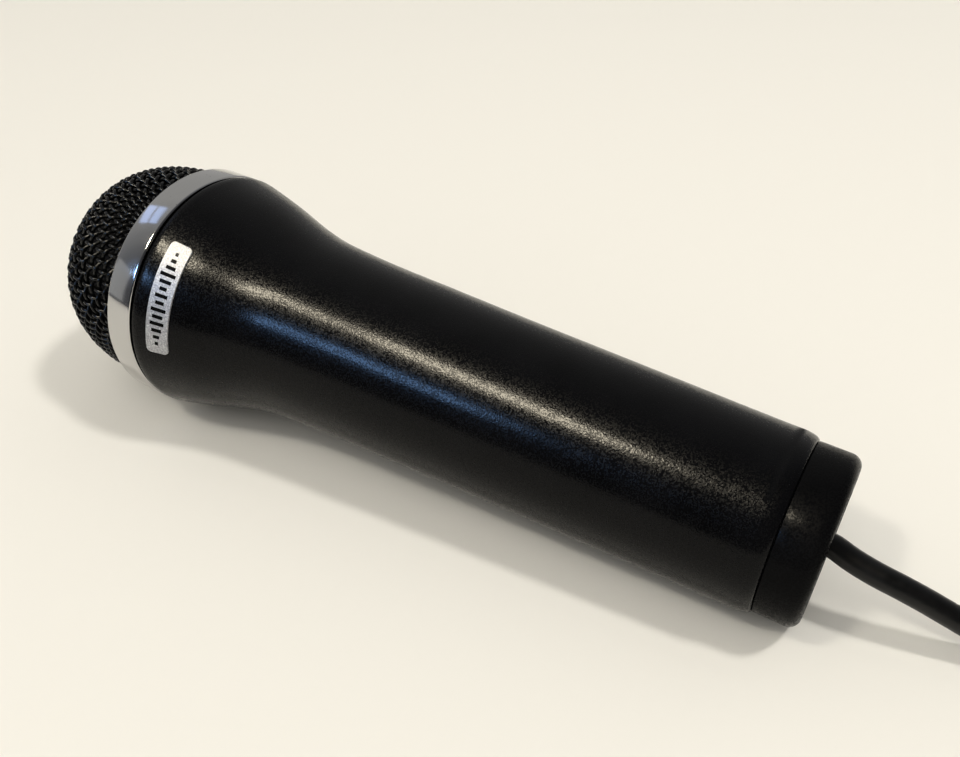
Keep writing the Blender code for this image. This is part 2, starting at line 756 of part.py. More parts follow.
def build_tail(axis):
    front = HANDLE_REAR_X - TAIL_GAP
    rear = front - TAIL_LENGTH
    disc_rear = rear + END_DISC_INSET
    disc_x = disc_rear + END_DISC_THICKNESS
    plug_front = HANDLE_REAR_X + TAIL_PLUG_LENGTH
    turned(
        "tail_cap",
        [
            (plug_front, 3.4 * MM),
            (plug_front, TAIL_PLUG_R - 0.5 * MM),
            (plug_front - 0.5 * MM, TAIL_PLUG_R),
            (front, TAIL_PLUG_R),
            (front, TAIL_R - 0.3 * MM),
            (front - 0.3 * MM, TAIL_R),
        ]
        + arc(rear + TAIL_ROUND, TAIL_R - TAIL_ROUND, TAIL_ROUND, 90, 180, 3)
        + [
            (rear, END_DISC_R + GAP),
            (disc_x, END_DISC_R + GAP),
            (disc_x, TAIL_HOLLOW_R),
            (plug_front - 2.0 * MM, TAIL_HOLLOW_R),
            (plug_front - 2.0 * MM, 3.4 * MM),
        ],
        "black_trim",
        axis,
    )
    turned(
        "end_disc",
        [
            (disc_x - GAP, END_DISC_BORE_R),
            (disc_x - GAP, END_DISC_R),
            (disc_rear + 0.4 * MM, END_DISC_R),
            (disc_rear, END_DISC_R - 0.4 * MM),
            (disc_rear, END_DISC_BORE_R),
        ],
        "black_trim",
        axis,
    )
    bore = CABLE_R + GAP
    turned(
        "cable_grommet",
        [
            (disc_x + 2.6 * MM, bore),
            (disc_x + 2.6 * MM, 4.8 * MM),
            (disc_x + 0.2 * MM, GROMMET_FLANGE_R),
            (disc_x + GAP - 0.2 * MM, GROMMET_FLANGE_R),
            (disc_x + GAP - 0.2 * MM, GROMMET_NECK_R),
            (disc_rear + 0.3 * MM, GROMMET_NECK_R),
            (disc_rear, GROMMET_NECK_R - 0.3 * MM),
            (disc_rear, bore),
        ],
        "rubber",
        axis,
        SMALL_SEGMENTS,
    )
    connector_x = BOARD_FRONT_X - BOARD_LENGTH + 2.0 * MM
    route = [
        (rear + 0.3 * MM, 0.0, 0.0),
        (rear + 4.0 * MM, 0.0, 0.0),
        (rear + 12.0 * MM, 0.0, 0.0),
        (rear + 20.0 * MM, 0.0, 0.1 * MM),
        (plug_front + 6.0 * MM, 1.5 * MM, 1.8 * MM),
        (connector_x - 7.5 * MM, 3.6 * MM, 4.2 * MM),
        (connector_x - 2.8 * MM, 4.5 * MM, 4.9 * MM),
    ]
    tube("inner_cable", catmull_rom(route, 5 * MM), CABLE_R, "cable_jacket", axis)
    stop_x = plug_front - 2.0 * MM - GAP
    stop_end = stop_x - CABLE_STOP_LENGTH
    turned(
        "cable_stop",
        [
            (stop_x, bore),
            (stop_x, CABLE_STOP_R - 0.6 * MM),
            (stop_x - 0.6 * MM, CABLE_STOP_R),
            (stop_end + 0.6 * MM, CABLE_STOP_R),
            (stop_end, CABLE_STOP_R - 0.6 * MM),
            (stop_end, bore),
        ],
        "white_plastic",
        axis,
        SMALL_SEGMENTS,
    )


# ---------------------------------------------------------------- the free cable


def stadium(half_run, radius, steps=10):
    right = [radians(-90 + 180 * k / steps) for k in range(steps + 1)]
    left = [a + pi for a in right]
    return [(half_run + radius * cos(a), radius * sin(a)) for a in right] + [
        (-half_run + radius * cos(a), radius * sin(a)) for a in left
    ]


def extruded(name, outline, height, finish, hole=None):
    """An outline, with an optional hole of as many points, pulled up by a height."""
    bm = bmesh.new()
    loops = []
    for z in (0.0, height):
        loops.append([bm.verts.new((x, y, z)) for x, y in outline])
    count = len(outline)
    for k in range(count):
        n = (k + 1) % count
        bm.faces.new((loops[0][k], loops[0][n], loops[1][n], loops[1][k]))
    if hole is None:
        bm.faces.new(loops[0])
        bm.faces.new(loops[1])
    else:
        inner = [[bm.verts.new((x, y, z)) for x, y in hole] for z in (0.0, height)]
        for k in range(count):
            n = (k + 1) % count
            bm.faces.new((inner[0][k], inner[0][n], inner[1][n], inner[1][k]))
            for z in (0, 1):
                bm.faces.new((loops[z][k], loops[z][n], inner[z][n], inner[z][k]))
    bmesh.ops.recalc_face_normals(bm, faces=bm.faces)
    return new_object(name, bm, finish)


def rounded_rectangle(width, height, radius, steps=3):
    points = []
    for cx, cy, start in (
        (width / 2 - radius, height / 2 - radius, 0),
        (-width / 2 + radius, height / 2 - radius, 90),
        (-width / 2 + radius, -height / 2 + radius, 180),
        (width / 2 - radius, -height / 2 + radius, 270),
    ):
        for k in range(steps + 1):
            a = radians(start + 90 * k / steps)
            points.append((cx + radius * cos(a), cy + radius * sin(a)))
    return points


def build_cable(end_x):
    """The cable from the end face at end_x, its hank, its tie and its plug, all in world axes."""
    route = [(end_x - d * MM, y * MM, z * MM) for d, y, z in CABLE_ROUTE]
    tube("cable_run", catmull_rom(route, 2.2 * CABLE_D), CABLE_R, "cable_jacket")

    hank_x = end_x - HANK_FRONT - HANK_OUTER_R - HANK_RUN / 2
    hank = extruded(
        "cable_hank", stadium(HANK_RUN / 2, HANK_OUTER_R), HANK_HEIGHT, "cable_jacket"
    )
    hank.location = (hank_x, HANK_SIDE, 0)
    tie_x = hank_x + TIE_SHIFT
    notch = block(
        "tie_notch",
        (TIE_WIDTH + 1.0 * MM, 4 * HANK_OUTER_R, 2 * (TIE_THICKNESS + GAP)),
        (tie_x, HANK_SIDE, 0),
        "tie_fabric",
        None,
    )
    boolean(hank, notch, "DIFFERENCE")

    inner_height = HANK_HEIGHT - TIE_THICKNESS + GAP
    inner_width = 2 * (HANK_OUTER_R + GAP)
    inside = rounded_rectangle(inner_width, inner_height, 0.3 * MM)
    outside = rounded_rectangle(
        inner_width + 2 * TIE_THICKNESS, inner_height + 2 * TIE_THICKNESS, TIE_THICKNESS
    )
    tie = extruded("hank_tie", outside, TIE_WIDTH, "tie_fabric", inside)
    tie.rotation_euler = (pi / 2, 0, pi / 2)
    tie.location = (
        tie_x - TIE_WIDTH / 2,
        HANK_SIDE,
        (HANK_HEIGHT + TIE_THICKNESS + GAP) / 2,
    )
    build_plug(hank_x)


def build_plug(hank_x):
    """A USB-A plug, lying on the hank's +Y run and pointing at the microphone."""
    y = HANK_SIDE + HANK_INNER_R + WINDING_STEP
    z = HANK_HEIGHT + GAP + PLUG_BODY[2] / 2
    rear = hank_x + PLUG_REAR_X
    front = rear + PLUG_BODY[0]
    block("plug_body", PLUG_BODY, ((rear + front) / 2, y, z), "black_trim", None, 1.4 * MM)
    boot = turned(
        "plug_boot",
        [
            (0.0, 0.0),
            (0.0, 3.6 * MM),
            (-PLUG_BOOT_LENGTH + 0.4 * MM, 2.9 * MM),
            (-PLUG_BOOT_LENGTH, 2.6 * MM),
            (-PLUG_BOOT_LENGTH, 0.0),
        ],
        "black_trim",
        None,
        SMALL_SEGMENTS,
    )
    boot.location = (rear - GAP, y, z)
    width, height = PLUG_SHELL[1:]
    shell = extruded(
        "plug_shell",
        rounded_rectangle(width, height, 0.6 * MM),
        PLUG_SHELL[0],
        "steel",
        rounded_rectangle(width - 2 * PLUG_WALL, height - 2 * PLUG_WALL, 0.3 * MM),
    )
    shell.rotation_euler = (pi / 2, 0, pi / 2)
    shell.location = (front + GAP, y, z)
    tongue = (PLUG_SHELL[0] - 1.4 * MM, width - 2 * PLUG_WALL - 2 * GAP, 1.7 * MM)
    block(
        "plug_tongue",
        tongue,
        (front + GAP + tongue[0] / 2, y, z - 0.7 * MM),
        "white_plastic",
        None,
    )
    centre = Vector((hank_x - HANK_RUN / 2, HANK_SIDE, 0))
    bend = HANK_INNER_R + WINDING_STEP
    low = HANK_HEIGHT + GAP + CABLE_R
    turns = [radians(-90 - 30 * k) for k in range(1, 7)]
    route = [(centre.x + bend * cos(a), centre.y + bend * sin(a), low) for a in turns]
    boot_end = rear - PLUG_BOOT_LENGTH - 3 * GAP
    route.append((boot_end, y, z))
    tube("cable_end", catmull_rom(route, 2.2 * CABLE_D), CABLE_R, "cable_jacket")


# ---------------------------------------------------------------- the whole microphone


def centre_over_origin(axis):
    """Moves the tilted microphone so that its own box is centred on the origin in x."""
    front = max(
        x * cos(TILT) + r * sin(TILT)
        for x, r in dome_shell(DOME_FOOT_X, DOME_R, DOME_HEIGHT, DOME_WALL, 8)
    )
    rear = HANDLE_REAR_X - TAIL_GAP - TAIL_LENGTH
    rim = rear * cos(TILT) - (TAIL_R - TAIL_ROUND) * sin(TILT)
    axis.location = (-(front + rim) / 2, 0, AXIS_HEIGHT)
    return axis.location.x + rear * cos(TILT)


def main():
    for obj in list(bpy.data.objects):
        bpy.data.objects.remove(obj, do_unlink=True)
    axis = bpy.data.objects.new("mic_axis", None)
    bpy.context.collection.objects.link(axis)
    axis.rotation_euler = (0, -TILT, 0)
    end_x = centre_over_origin(axis)
    build_head(axis)
    build_seal(axis)
    build_handle(axis)
    build_label(axis)
    build_capsule(axis)
    build_board(axis)
    build_leads(axis)
    build_tail(axis)
    build_cable(end_x)


main()
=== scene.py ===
"""A corded karaoke microphone lying on a pale floor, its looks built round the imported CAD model.

The microphone's pieces are made about its own axis (x = 0 at the chrome ring's rear edge, +x out
of the grille) and then set in place by MIC. The cord, its tie and its plug are made in place.
"""

from math import ceil, cos, exp, hypot, pi, radians, sin, tan

import bmesh
import bpy
import numpy as np
from mathutils import Matrix, Vector


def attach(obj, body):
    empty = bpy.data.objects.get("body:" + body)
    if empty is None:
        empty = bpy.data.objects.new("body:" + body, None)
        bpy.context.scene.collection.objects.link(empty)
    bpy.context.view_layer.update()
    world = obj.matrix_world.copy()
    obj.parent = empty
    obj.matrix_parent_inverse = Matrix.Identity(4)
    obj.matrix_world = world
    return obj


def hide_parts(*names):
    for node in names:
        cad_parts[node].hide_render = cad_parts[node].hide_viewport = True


MM = 0.001

# Camera
CAMERA_RIGHT = Vector((-0.865492, -0.500712, -0.014532))
CAMERA_UP = Vector((0.289199, -0.523154, 0.801669))
CAMERA_PLACE = (-0.092789, 0.125821, 0.138403)
CAMERA_SENSOR = 36.0
CAMERA_LENS = 36.34
CAMERA_SHIFT = (-0.0188, -0.0092)
CAMERA_CLIP = (0.01, 20.0)

# Light, with angles in degrees: azimuth from +X towards +Y, elevation up from the floor
FAR_AZIMUTH = -50  # the bright side of the room
ROOM = [
    (0.0, (0.04, 0.04, 0.045)),
    (0.35, (0.07, 0.07, 0.075)),
    (0.5, (0.17, 0.175, 0.185)),
    (0.65, (0.35, 0.35, 0.35)),
    (0.8, (0.46, 0.455, 0.44)),
    (1.0, (0.46, 0.455, 0.44)),
]
SKY_COLOUR = (0.54, 0.53, 0.505)
BACKDROP_COLOUR = (0.87, 0.82, 0.72)
LIGHTS = [  # name, azimuth, elevation, distance, size, watts, colour
    ("ceiling_light", 108, 60, 6.0, (3.75, 3.4), 72.0, (1.0, 0.98, 0.95)),
    ("rear_light", 190, 62, 1.5, (0.14, 0.14), 8.4, (1.0, 0.98, 0.94)),
    ("lamp_light", 64, 57, 1.5, (0.16, 0.16), 5.2, (1.0, 0.95, 0.85)),
]
CARDS = [  # name, azimuth, elevation, width, height, radiance
    ("warm_lamp", 62, 57, 20, 8, (72.0, 64.5, 50.0)),
    ("blue_window", 62, 30, 17, 8, (7.6, 14.0, 26.0)),
    ("upper_pane", 2, 53, 15, 5, (0.45, 0.62, 1.05)),
    ("lower_pane", 2, 47, 15, 5, (0.50, 0.66, 1.10)),
    ("near_wall", 43, 14, 14, 24, (0.26, 0.26, 0.25)),
]
CARD_DISTANCE = 3.0
FLOOR_HALF = 2.5

# Where the microphone's axis lies
AXIS_PLACE = Vector((0.052768, 0.0, 0.025642))
AXIS_TILT = 0.071709
MIC = Matrix.Translation(AXIS_PLACE) @ Matrix.Rotation(-AXIS_TILT, 4, "Y")
IN_PLACE = Matrix()

# Head
RING_R = 25.6 * MM
RING_LENGTH = 6.1 * MM
RING_LIP_R = 24.65 * MM
RING_LIP_GAP = 0.3 * MM
RING_BORE_R = 23.9 * MM
RING_ROUND = 0.42 * MM
DOME_FOOT_X = 4.4 * MM
DOME_R = 24.1 * MM
DOME_HEIGHT = 25.2 * MM
DOME_SQUARENESS = 2.75
DOME_SPREAD = 1.15  # sets the outline's points closer together near the foot
WIRE_R = 0.36 * MM
WIRE_PITCH = 2.05 * MM
FOAM_X = 9.5 * MM
FOAM_R = 22.2 * MM
FOAM_HEIGHT = 23.3 * MM
FOAM_THICKNESS = 3.6 * MM
SEAL_X = -0.9 * MM
SEAL_R = 22.6 * MM
SEAL_SECTION_R = 0.6 * MM

# Handle
HANDLE_FRONT_X = -0.5 * MM
HANDLE_REAR_X = -128.3 * MM
HANDLE_WALL = 2.4 * MM
HANDLE_OUTLINE = [  # (distance behind the ring, radius) in mm
    (0.5, 25.15), (0.8, 25.5), (1.5, 25.6), (4.7, 24.9), (8.0, 24.1), (11.5, 23.15),
    (15.0, 22.1), (19.0, 20.95), (23.5, 19.95), (28.5, 19.3), (39.5, 18.65), (53.0, 18.3),
    (71.0, 17.8), (94.5, 17.3), (118.0, 16.8), (125.4, 16.7),
]
SHOULDER_LENGTH = 2.9 * MM
SHOULDER_DROP = 1.0 * MM
SHOULDER_STEPS = 7
OUTLINE_STEP = 1.6 * MM
NECK_R = 20.2 * MM
NECK_BORE_R = 18.3 * MM
NECK_FRONT_X = 8.6 * MM
NECK_REAR_X = HANDLE_FRONT_X - 1.4 * MM
NECK_CORNER = 0.5 * MM
SEAL_GROOVE_R = 23.6 * MM
SHELF_R = 16.4 * MM  # the ledge inside the neck that carries the capsule
SHELF_FRONT_X = 5.0 * MM
SHELF_REAR_X = -4.5 * MM
SHELF_SLOPE = (-6.5 * MM, 21.6 * MM)  # (x, radius) where the slope to the ledge starts
HOLLOW_FRONT_X = -9 * MM
THREAD_X = 1.2 * MM
THREAD_PITCH = 4.0 * MM
THREAD_TURNS = 1.25
THREAD_DEPTH = 0.85 * MM
THREAD_SINK = 0.3 * MM
THREAD_HALF_ROOT = 0.75 * MM
THREAD_HALF_CREST = 0.32 * MM
THREAD_ANGLE = 0.05  # where the ridge starts, in radians
THREAD_STEPS = 72  # per turn
THREAD_FADE = 6  # steps over which the ridge rises at each end

# Label
LABEL_LENGTH = 23.0 * MM
LABEL_WIDTH = 4.6 * MM
LABEL_X = -6.65 * MM
LABEL_ANGLE = radians(30.0)
LABEL_LIFT = 0.05 * MM
LABEL_TOP = 0.38 * MM
LABEL_CORNER = 0.9 * MM
LABEL_EDGE = 0.07 * MM
BAR_HEIGHTS = (0.7, 1.3, 2.1, 2.9, 2.2, 3.1, 1.8, 2.6, 1.5, 2.4, 3.2, 2.0, 1.1, 0.6)  # in mm
BAR_STEP = 1.42 * MM
BAR_HALF_WIDTH = 0.36 * MM
BAR_HALF_THICKNESS = 0.05 * MM

# Tail
TAIL_R = 15.75 * MM
TAIL_FRONT_X = -128.42 * MM
TAIL_REAR_X = -136.2 * MM
TAIL_PLUG_R = 13.7 * MM
TAIL_PLUG_X = -116.3 * MM
TAIL_PLUG_CORNER = 0.5 * MM
TAIL_BORE_R = TAIL_PLUG_R + 0.4 * MM  # of the handle, round the tail's plug
TAIL_BORE_X = TAIL_PLUG_X + 1.5 * MM
TAIL_WALL = 2.0 * MM
TAIL_HOLE_R = 3.4 * MM
TAIL_ROUND = 2.2 * MM
TAIL_SEAM_ROUND = 0.12 * MM
TAIL_HOLLOW_R = 11.2 * MM
END_DISC_R = 13.1 * MM
END_DISC_GAP = 0.3 * MM
END_DISC_SEAT = 2.1 * MM
END_DISC_THICKNESS = 1.7 * MM
END_DISC_BORE_R = 4.4 * MM
END_DISC_ROUND = 0.4 * MM
END_FACE_X = TAIL_REAR_X + 0.1 * MM
END_GROOVE = [(0.0, 9.2), (0.35, 8.8), (0.35, 8.2), (0.0, 7.8)]  # (depth, radius) in mm

# Cord
CABLE_D = 4.4 * MM
CABLE_R = CABLE_D / 2
CORD_STEP = 4.0 * MM
LEAD_STEP = 1.5 * MM
CORD_START = 0.6 * MM  # how far inside the end face the drawn cord starts
GROMMET_BORE_R = CABLE_R + 0.15 * MM
GROMMET_FLANGE = [(4.6, 4.8), (2.2, 5.6), (2.0, 4.1)]  # (depth, radius) in mm
GROMMET_ARC_R = 3.7 * MM
GROMMET_ROUND = 0.4 * MM
GROMMET_MOUTH_R = 3.0 * MM
END_X = -0.083081
EXIT_Z = 15.88 * MM
CABLE_ROUTE = [  # (distance behind the end face, y, z) in mm
    (0.7, 0.05, 15.6), (4.0, 0.4, 14.5), (8.0, 0.5, 13.4), (12.0, 0.2, 12.3),
    (16.0, -0.3, 10.9), (20.0, -0.9, 9.2), (24.0, -1.6, 7.4), (29.0, -2.8, 5.3),
    (35.0, -4.6, 3.5), (41.0, -6.9, 2.5), (47.5, -9.3, 2.25),
]
HANK_X = -0.207081
HANK_Y = 0.007
HANK_HALF_RUN = 50.0 * MM
HANK_INNER_R = 15.2 * MM
WINDING_STEP = 4.5 * MM
HANK_RUN = 2 * HANK_HALF_RUN
HANK_BEND = pi * (HANK_INNER_R + WINDING_STEP)
LAP_LENGTH = 2 * HANK_RUN + 2 * HANK_BEND
TIE_X = HANK_X + 12.0 * MM
TIE_WIDTH = 12.0 * MM
TIE_THICKNESS = 1.1 * MM
TIE_HALF_SPAN = 27.8 * MM
TIE_TOP = 14.9 * MM
TIE_CORNER = 3.0 * MM
TIE_STEP = 2.0 * MM
STRAP_EDGE = 0.4 * MM
TAB_START = -14.0 * MM
TAB_END = 15.0 * MM
TAB_ROUND = 4.0 * MM
TAB_NARROWING = 2.5 * MM
TAB_GAP = 0.12 * MM
TAB_HALF_THICKNESS = 0.42 * MM
TAB_PEEL = 0.5 * MM
TAB_PEEL_START = 6 * MM
TAB_PEEL_LENGTH = 9 * MM
PLUG_Y = HANK_Y + HANK_INNER_R + WINDING_STEP
PLUG_Z = 17.8 * MM
PLUG_REAR_X = HANK_X - 31.0 * MM
PLUG_LENGTH = 20.0 * MM
PLUG_SQUARENESS = 4.5
# Stations of the plug's grip: (distance from its rear, half width, half height) in mm
PLUG_REAR = [
    (0.0, 4.9, 3.1), (0.15, 5.5, 3.5), (0.6, 6.1, 3.8), (2.0, 6.9, 3.95), (4.0, 7.5, 4.0),
    (5.4, 7.75, 4.0),
]
PLUG_GROOVES = (6.6, 8.8, 11.0, 13.2)
PLUG_GROOVE = [(-0.55, 7.8, 4.0), (-0.3, 7.35, 4.0), (0.3, 7.35, 4.0), (0.55, 7.8, 4.0)]
PLUG_FRONT = [
    (16.0, 7.8, 4.0), (19.0, 7.7, 4.0), (19.6, 7.55, 3.85), (19.9, 7.25, 3.6), (20.0, 6.8, 3.2),
]
BOOT_LENGTH = 8.0 * MM
BOOT_GAP = 0.1 * MM
BOOT_OVERLAP = 1.0 * MM
# The boot's outline: (distance behind its front, radius) in mm, and a rib's (distance, drop)
BOOT_FRONT = [(0.0, 0.0), (0.0, 3.55)]
BOOT_RIBS = [(0.6 + 1.8 * k, 3.55 - 0.22 * k) for k in range(4)]
BOOT_RIB = [(0.0, 0.0), (0.25, 0.55), (0.75, 0.6), (1.0, 0.15)]
BOOT_REAR = [(7.7, 2.85), (8.0, 2.6), (8.0, 0.0)]
SHELL_X = PLUG_REAR_X + PLUG_LENGTH - 0.4 * MM
SHELL_END = PLUG_REAR_X + PLUG_LENGTH + 12.3 * MM
SHELL_STOPS = [SHELL_X, SHELL_X + 5.2 * MM, SHELL_X + 7.6 * MM, SHELL_END - 0.3 * MM, SHELL_END]
SHELL_HALF_WIDTH = 6.0 * MM
SHELL_HALF_HEIGHT = 2.25 * MM
SHELL_CORNER = 0.6 * MM
SHELL_WALL = 0.35 * MM
WINDOW_EDGES = (-3.9, -1.5, 1.5, 3.9)  # across the shell, in mm
CONTACT_STEP = 2.2 * MM
CONTACT_HALF_LENGTH = 3.6 * MM
CONTACT_HALF_WIDTH = 0.55 * MM
CONTACT_CORNER = 0.3 * MM
CONTACT_END_X = SHELL_END - 1.4 * MM
OUTER_SETBACK = 0.6 * MM  # of the two outer contacts
INNER_SETBACK = 1.4 * MM
CONTACT_SUNK = 0.05 * MM
CONTACT_PROUD = 0.12 * MM
TONGUE_TOP = PLUG_Z + 0.15 * MM


# ---- camera, lights and floor


def new_object(name, data):
    thing = bpy.data.objects.new(name, data)
    bpy.context.scene.collection.objects.link(thing)
    return thing


def add_camera():
    """The camera at the photograph's viewing angle."""
    right, up = CAMERA_RIGHT.normalized(), CAMERA_UP.normalized()
    back = right.cross(up)
    data = bpy.data.cameras.new("camera")
    data.sensor_width = CAMERA_SENSOR
    data.lens = CAMERA_LENS
    data.shift_x, data.shift_y = CAMERA_SHIFT
    data.clip_start, data.clip_end = CAMERA_CLIP
    camera = new_object("camera", data)
    turn = Matrix((right, up, back)).transposed().to_4x4()
    camera.matrix_world = Matrix.Translation(CAMERA_PLACE) @ turn
    bpy.context.scene.camera = camera


def towards(azimuth, elevation):
    a, e = radians(azimuth), radians(elevation)
    return Vector((cos(e) * cos(a), cos(e) * sin(a), sin(e)))


def add_light(name, azimuth, elevation, distance, size, watts, colour, shine=False):
    """A rectangular soft light that faces the microphone. It either lights surfaces or, with
    shine, is only seen mirrored in them."""
    data = bpy.data.lights.new(name, "AREA")
    data.shape = "RECTANGLE"
    data.size, data.size_y = size
    data.energy = watts
    data.color = colour
    light = new_object(name, data)
    direction = towards(azimuth, elevation)
    turn = direction.to_track_quat("Z", "Y").to_matrix().to_4x4()
    light.matrix_world = Matrix.Translation(direction * distance) @ turn
    light.visible_camera = False
    light.visible_diffuse = not shine
    light.visible_glossy = shine


def add_card(name, azimuth, elevation, width, height, radiance):
    """A light that is only mirrored: its angular size in degrees, its radiance in linear RGB."""
    across = 2 * CARD_DISTANCE * tan(radians(width / 2))
    along = 2 * CARD_DISTANCE * tan(radians(height / 2))
    strongest = max(radiance)
    colour = tuple(c / strongest for c in radiance)
    watts = strongest * pi * across * along
    add_light(name, azimuth, elevation, CARD_DISTANCE, (across, along), watts, colour, True)


def add_world():
    """A pale backdrop for the camera, soft light for surfaces, and for what shines a room that
    is bright on the far side and dark on the near side."""
    world = bpy.data.worlds.new("studio")
    bpy.context.scene.world = world
    world.use_nodes = True
    tree = world.node_tree
    nodes, links = tree.nodes, tree.links
    nodes.clear()
    coords = nodes.new("ShaderNodeTexCoord")
    far = nodes.new("ShaderNodeVectorMath")
    far.operation = "DOT_PRODUCT"
    far.inputs[1].default_value = towards(FAR_AZIMUTH, 0)
    links.new(coords.outputs["Generated"], far.inputs[0])
    share = nodes.new("ShaderNodeMapRange")
    share.inputs["From Min"].default_value = -1.0
    links.new(far.outputs["Value"], share.inputs["Value"])
    grade = nodes.new("ShaderNodeValToRGB")
    links.new(share.outputs["Result"], grade.inputs["Fac"])
    set_stops(grade.color_ramp, ROOM)

    def background(colour):
        node = nodes.new("ShaderNodeBackground")
        if isinstance(colour, tuple):
            node.inputs["Color"].default_value = (*colour, 1)
        else:
            links.new(colour, node.inputs["Color"])
        return node.outputs["Background"]

    def choose(ray, otherwise, then):
        mix = nodes.new("ShaderNodeMixShader")
        links.new(path.outputs[ray], mix.inputs["Fac"])
        links.new(otherwise, mix.inputs[1])
        links.new(then, mix.inputs[2])
        return mix.outputs["Shader"]

    path = nodes.new("ShaderNodeLightPath")
    soft = background(SKY_COLOUR)
    lit = choose("Is Glossy Ray", soft, background(grade.outputs["Color"]))
    out = nodes.new("ShaderNodeOutputWorld")
    links.new(choose("Is Camera Ray", lit, background(BACKDROP_COLOUR)), out.inputs["Surface"])


def add_lights():
    for light in LIGHTS:
        add_light(*light)
    for card in CARDS:
        add_card(*card)


def add_floor():
    mesh = bpy.data.meshes.new("floor")
    corners = [(x * FLOOR_HALF, y * FLOOR_HALF, 0) for x, y in ((-1, -1), (1, -1), (1, 1), (-1, 1))]
    mesh.from_pydata(corners, [], [(0, 1, 2, 3)])
    cloth = Look("floor_cloth", (0.78, 0.755, 0.695), 0.9, Specular_IOR_Level=0.2)
    mesh.materials.append(cloth.finish)
    new_object("floor", mesh)


# ---- finishes


def set_stops(ramp, stops):
    """Gives a colour ramp its stops, as (position, colour)."""
    ramp.elements[0].position, ramp.elements[0].color = stops[0][0], (*stops[0][1], 1)
    ramp.elements[1].position, ramp.elements[1].color = stops[-1][0], (*stops[-1][1], 1)
    for position, colour in stops[1:-1]:
        ramp.elements.new(position).color = (*colour, 1)


def grey(level):
    return (level, level, level)


class Look:
    """A Principled material and the textures that vary it, laid in the object's own space.
    Socket names are written with underscores."""

    def __init__(self, name, colour, roughness, **sockets):
        self.finish = bpy.data.materials.new(name)
        self.finish.use_nodes = True
        self.shader = self.finish.node_tree.nodes["Principled BSDF"]
        self.shader.inputs["Base Color"].default_value = (*colour, 1.0)
        self.shader.inputs["Roughness"].default_value = roughness
        for socket, value in sockets.items():
            self.shader.inputs[socket.replace("_", " ")].default_value = value
        self.at = self.node("ShaderNodeTexCoord").outputs["Object"]

    def node(self, kind, inputs=(), **settings):
        node = self.finish.node_tree.nodes.new(kind)
        for key, value in settings.items():
            setattr(node, key, value)
        for socket, value in dict(inputs).items():
            if isinstance(value, bpy.types.NodeSocket):
                self.finish.node_tree.links.new(value, node.inputs[socket])
            else:
                node.inputs[socket].default_value = value
        return node

    def noise(self, feature, detail, roughness=0.5, at=None):
        """Noise whose lumps are about a feature, in metres, across."""
        inputs = {"Vector": at or self.at, "Scale": 1.0 / feature, "Detail": detail}
        inputs["Roughness"] = roughness
        return self.node("ShaderNodeTexNoise", inputs).outputs["Fac"]

    def cells(self, feature, output="Distance"):
        inputs = {"Vector": self.at, "Scale": 1.0 / feature}
        return self.node("ShaderNodeTexVoronoi", inputs).outputs[output]

    def stretched(self, scale):
        inputs = {"Vector": self.at, "Scale": scale}
        return self.node("ShaderNodeMapping", inputs).outputs["Vector"]

    def spread(self, value, low, high):
        """A noise's usual range, 0.3 to 0.7, as low to high."""
        inputs = {"Value": value, "From Min": 0.3, "From Max": 0.7, "To Min": low, "To Max": high}
        return self.node("ShaderNodeMapRange", inputs).outputs["Result"]

    def colours(self, value, *stops):
        node = self.node("ShaderNodeValToRGB", {"Fac": value})
        set_stops(node.color_ramp, stops)
        return node.outputs["Color"]

    def bump(self, height, depth, under=None):
        inputs = {"Height": height, "Distance": depth, "Strength": 1.0}
        if under is not None:
            inputs["Normal"] = under
        return self.node("ShaderNodeBump", inputs).outputs["Normal"]

    def wired(self, **sockets):
        """The material, with outputs led to the shader's sockets."""
        for socket, output in sockets.items():
            self.finish.node_tree.links.new(output, self.shader.inputs[socket.replace("_", " ")])
        return self.finish


def moulded(name, colour, roughness, grain=0.5 * MM, depth=0.01 * MM, vary=0.25):
    """Moulded plastic or rubber: slight unevenness of tone, gloss and surface."""
    look = Look(name, colour, roughness)
    patches = look.noise(6 * MM, 3.0)
    dark = tuple(c * (1 - vary) for c in colour)
    light = tuple(min(1.0, c * (1 + vary)) for c in colour)
    return look.wired(
        Base_Color=look.colours(patches, (0.3, dark), (0.7, light)),
        Roughness=look.spread(patches, roughness - 0.05, roughness + 0.05),
        Normal=look.bump(look.noise(grain, 2.0), depth),
    )


def grained_black(name, tone, roughness, gloss):
    """Satin black plastic whose fine mould grain sparkles where a light is mirrored."""
    look = Look(name, tone, roughness, Specular_IOR_Level=gloss)
    glints = look.cells(0.23 * MM, "Color")
    dark = tuple(0.8 * c for c in tone)
    light = tuple(1.35 * c for c in tone)
    return look.wired(
        Base_Color=look.colours(look.noise(9 * MM, 3.0), (0.3, dark), (0.7, light)),
        Roughness=look.spread(glints, 0.45 * roughness, 1.55 * roughness),
        Normal=look.bump(look.noise(0.30 * MM, 0.0), 0.014 * MM),
    )


def chrome_finish():
    """Bright plate with a faint haze, a few pits and hairline rubs round the ring."""
    plate, pit, pit_edge = (0.50, 0.495, 0.49), (0.10, 0.09, 0.09), (0.16, 0.15, 0.15)
    look = Look("chrome_look", plate, 0.07, Metallic=1.0)
    dots = look.cells(1.9 * MM)
    rubs = look.noise(1.2 * MM, 3.0, at=look.stretched((6.0, 0.4, 0.4)))
    return look.wired(
        Base_Color=look.colours(dots, (0.0, pit), (0.045, pit_edge), (0.07, plate)),
        Roughness=look.spread(look.noise(5 * MM, 4.0, 0.6), 0.05, 0.13),
        Normal=look.bump(rubs, 0.0015 * MM),
    )


